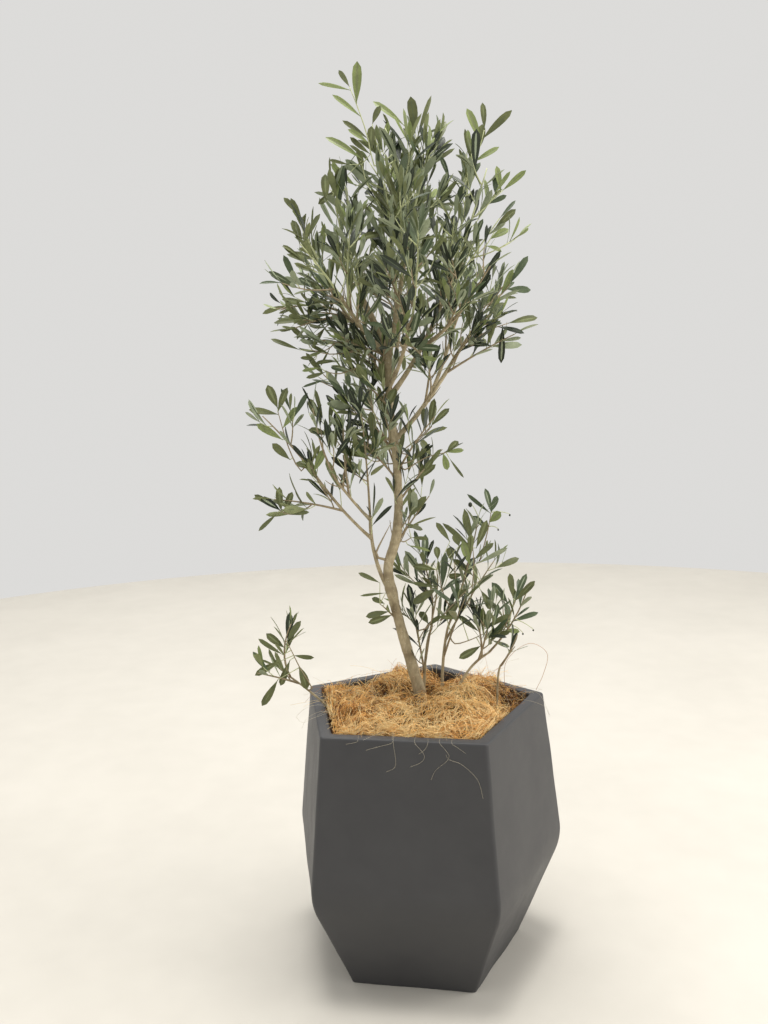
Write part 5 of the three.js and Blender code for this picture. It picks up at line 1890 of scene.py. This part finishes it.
def leaf_tones(rows, seed):
    """The finish of each leaf's upper side and under side. A spray is the lighter the further
    left it is, as painted light on the left and painted shade on the right, lighter at the top and
    low down and darker in the crown's middle as painted light and shade, and lighter on the
    outline as painted light. Single leaves are deep green near the crown's axis as painted shade,
    or olive anywhere."""
    draw = np.random.default_rng(seed)
    chance = draw.uniform(size=sprays)
    # painted light on the outline sprigs
    least, more = SPRIG_PAINTED_LIGHT
    chance[-len(SPRIGS):] = least + more * chance[-len(SPRIGS):]
    root, _, _, _, _, spray, young_tip, _ = (np.array(column) for column in zip(*rows))
    across, away, height = root.T
    inward = 1 - np.hypot(across, away) / CROWN_REACH
    counts = np.maximum(np.bincount(spray, minlength=sprays), 1)
    spray_x, spray_z = (np.bincount(spray, v, minlength=sprays) / counts for v in (across, height))
    # painted light on the left, at the top and low down; painted shade on the right and in the
    # middle
    chance = chance - PAINTED_LIGHT_LEFT * spray_x + np.interp(spray_z, PAINTED_LIGHT_HEIGHTS, PAINTED_LIGHT_SHIFTS)
    upper = np.select([chance < DEEP_BELOW, chance < GREY_BELOW], [DEEP_AND_PAINTED_SHADE, GREY], OLIVE)[spray]
    own = draw.uniform(size=len(rows))
    # painted shade: deep green near the crown's axis
    shaded = np.clip(INNER_PAINTED_SHADE * inward, OUTER_PAINTED_SHADE, 1)
    dark = np.where(spray < sprays - len(SPRIGS), shaded, SPRIG_PAINTED_SHADE)
    upper = np.where(own < dark, DEEP_AND_PAINTED_SHADE, np.where(own > 1 - ALWAYS_OLIVE, OLIVE, upper))
    least, more = YOUNG_CHANCES
    lit = young_tip & (draw.uniform(size=len(rows)) < least + more * (height > YOUNG_ABOVE))
    upper = np.where(lit, YOUNG, upper)
    return upper, np.where((upper == OLIVE) | (upper == YOUNG), UNDER_OLIVE, UNDER)


def leaf_pieces(rows):
    """Leaves joined in pieces, each small enough, with every face dealt its finish."""
    upper, under = leaf_tones(rows, seed=3)
    for part, first in enumerate(range(0, len(rows), PIECE_LEAVES)):
        some = slice(first, first + PIECE_LEAVES)
        ring = np.where(UNDER_FACETS, under[some][:, None], MIDRIB)
        ring = np.where(UPPER_FACETS, upper[some][:, None], ring)
        dealt = np.repeat(ring[:, None, :], len(LEAF_ROWS) - 1, axis=1).reshape(-1)
        dealt = np.concatenate([dealt, np.tile(under[some], 2)])
        put_piece(
            f"olive_leaves_{part + 1}", leaves(rows[some], seed=40 + part),
            foliage_nodes, leaf_finishes, dealt, crease=55,
        )


leaf_pieces(leaf_rows)

# %% [markdown]
# ## Twigs
# The twigs are thin five-sided tubes. The old wood near the boughs is grey-brown. This year's
# shoots, the thin ones and those at the top of the crown, are pale green.

# %% Twig pieces
TWIG_AROUND = 5
TWIG_RINGS = 9
SHOOT_HEIGHT = 1.02
SHOOT_THINNER = 1 * MM
twig_finishes = [
    finish(
        "twig_wood", (132, 116, 90), (166, 152, 122), (0.65, 0.8), 120.0, 1500.0, bump=0.0002
    ),
    finish(
        "twig_shoot", (176, 182, 132), (204, 208, 164), (0.5, 0.65), 120.0, 1500.0, bump=0.0001
    ),
]
WOOD, SHOOT = range(len(twig_finishes))


def twig_piece():
    """All twigs in one piece: even taper from foot to tip."""
    shares = np.linspace(0, 1, TWIG_RINGS)
    paths = np.array([line.at(shares) for line, *_ in grown])
    thick = np.array([ends for _, ends, *_ in grown])
    radii = thick[:, :1] + (thick[:, 1:] - thick[:, :1]) * shares
    young = (paths[:, -1, 2] > SHOOT_HEIGHT) | (thick[:, 0] < SHOOT_THINNER)
    shape = tubes(paths, radii, TWIG_AROUND)
    dealt = dealt_by_tube(np.where(young, SHOOT, WOOD), shape[1])
    put_piece("olive_twigs", shape, foliage_nodes, twig_finishes, dealt)


twig_piece()

# %% [markdown]
# ## Fruit
# A few olives hang on the suckers, one of them nearly ripe and dark, the others barely set.
# Each is an egg shape: rings along an upright line, whose radii follow a circle.

# %% Olives
fruit_finish = finish("olive_fruit", (38, 44, 30), (54, 60, 40), (0.25, 0.35), 200.0, bump=0.0)
FRUIT_RINGS = 10
FRUIT_AROUND = 12
FRUIT_ENDS = 0.985
FRUIT_SLENDER = 0.8


def fruit_piece():
    """Radius = half the width * the root of (1 - t^2), for t from -1 to 1 along the height."""
    t = np.linspace(-FRUIT_ENDS, FRUIT_ENDS, FRUIT_RINGS)
    rows = np.array(OLIVES, dtype=float) * MM
    places, sizes = rows[:, :3], rows[:, 3:]
    paths = places[:, None] + (sizes / 2 * t)[..., None] * UP
    radii = FRUIT_SLENDER * sizes / 2 * np.sqrt(1 - t * t)
    shape = tubes(paths, radii, FRUIT_AROUND)
    put_piece("olives", shape, foliage_nodes, [fruit_finish])


fruit_piece()
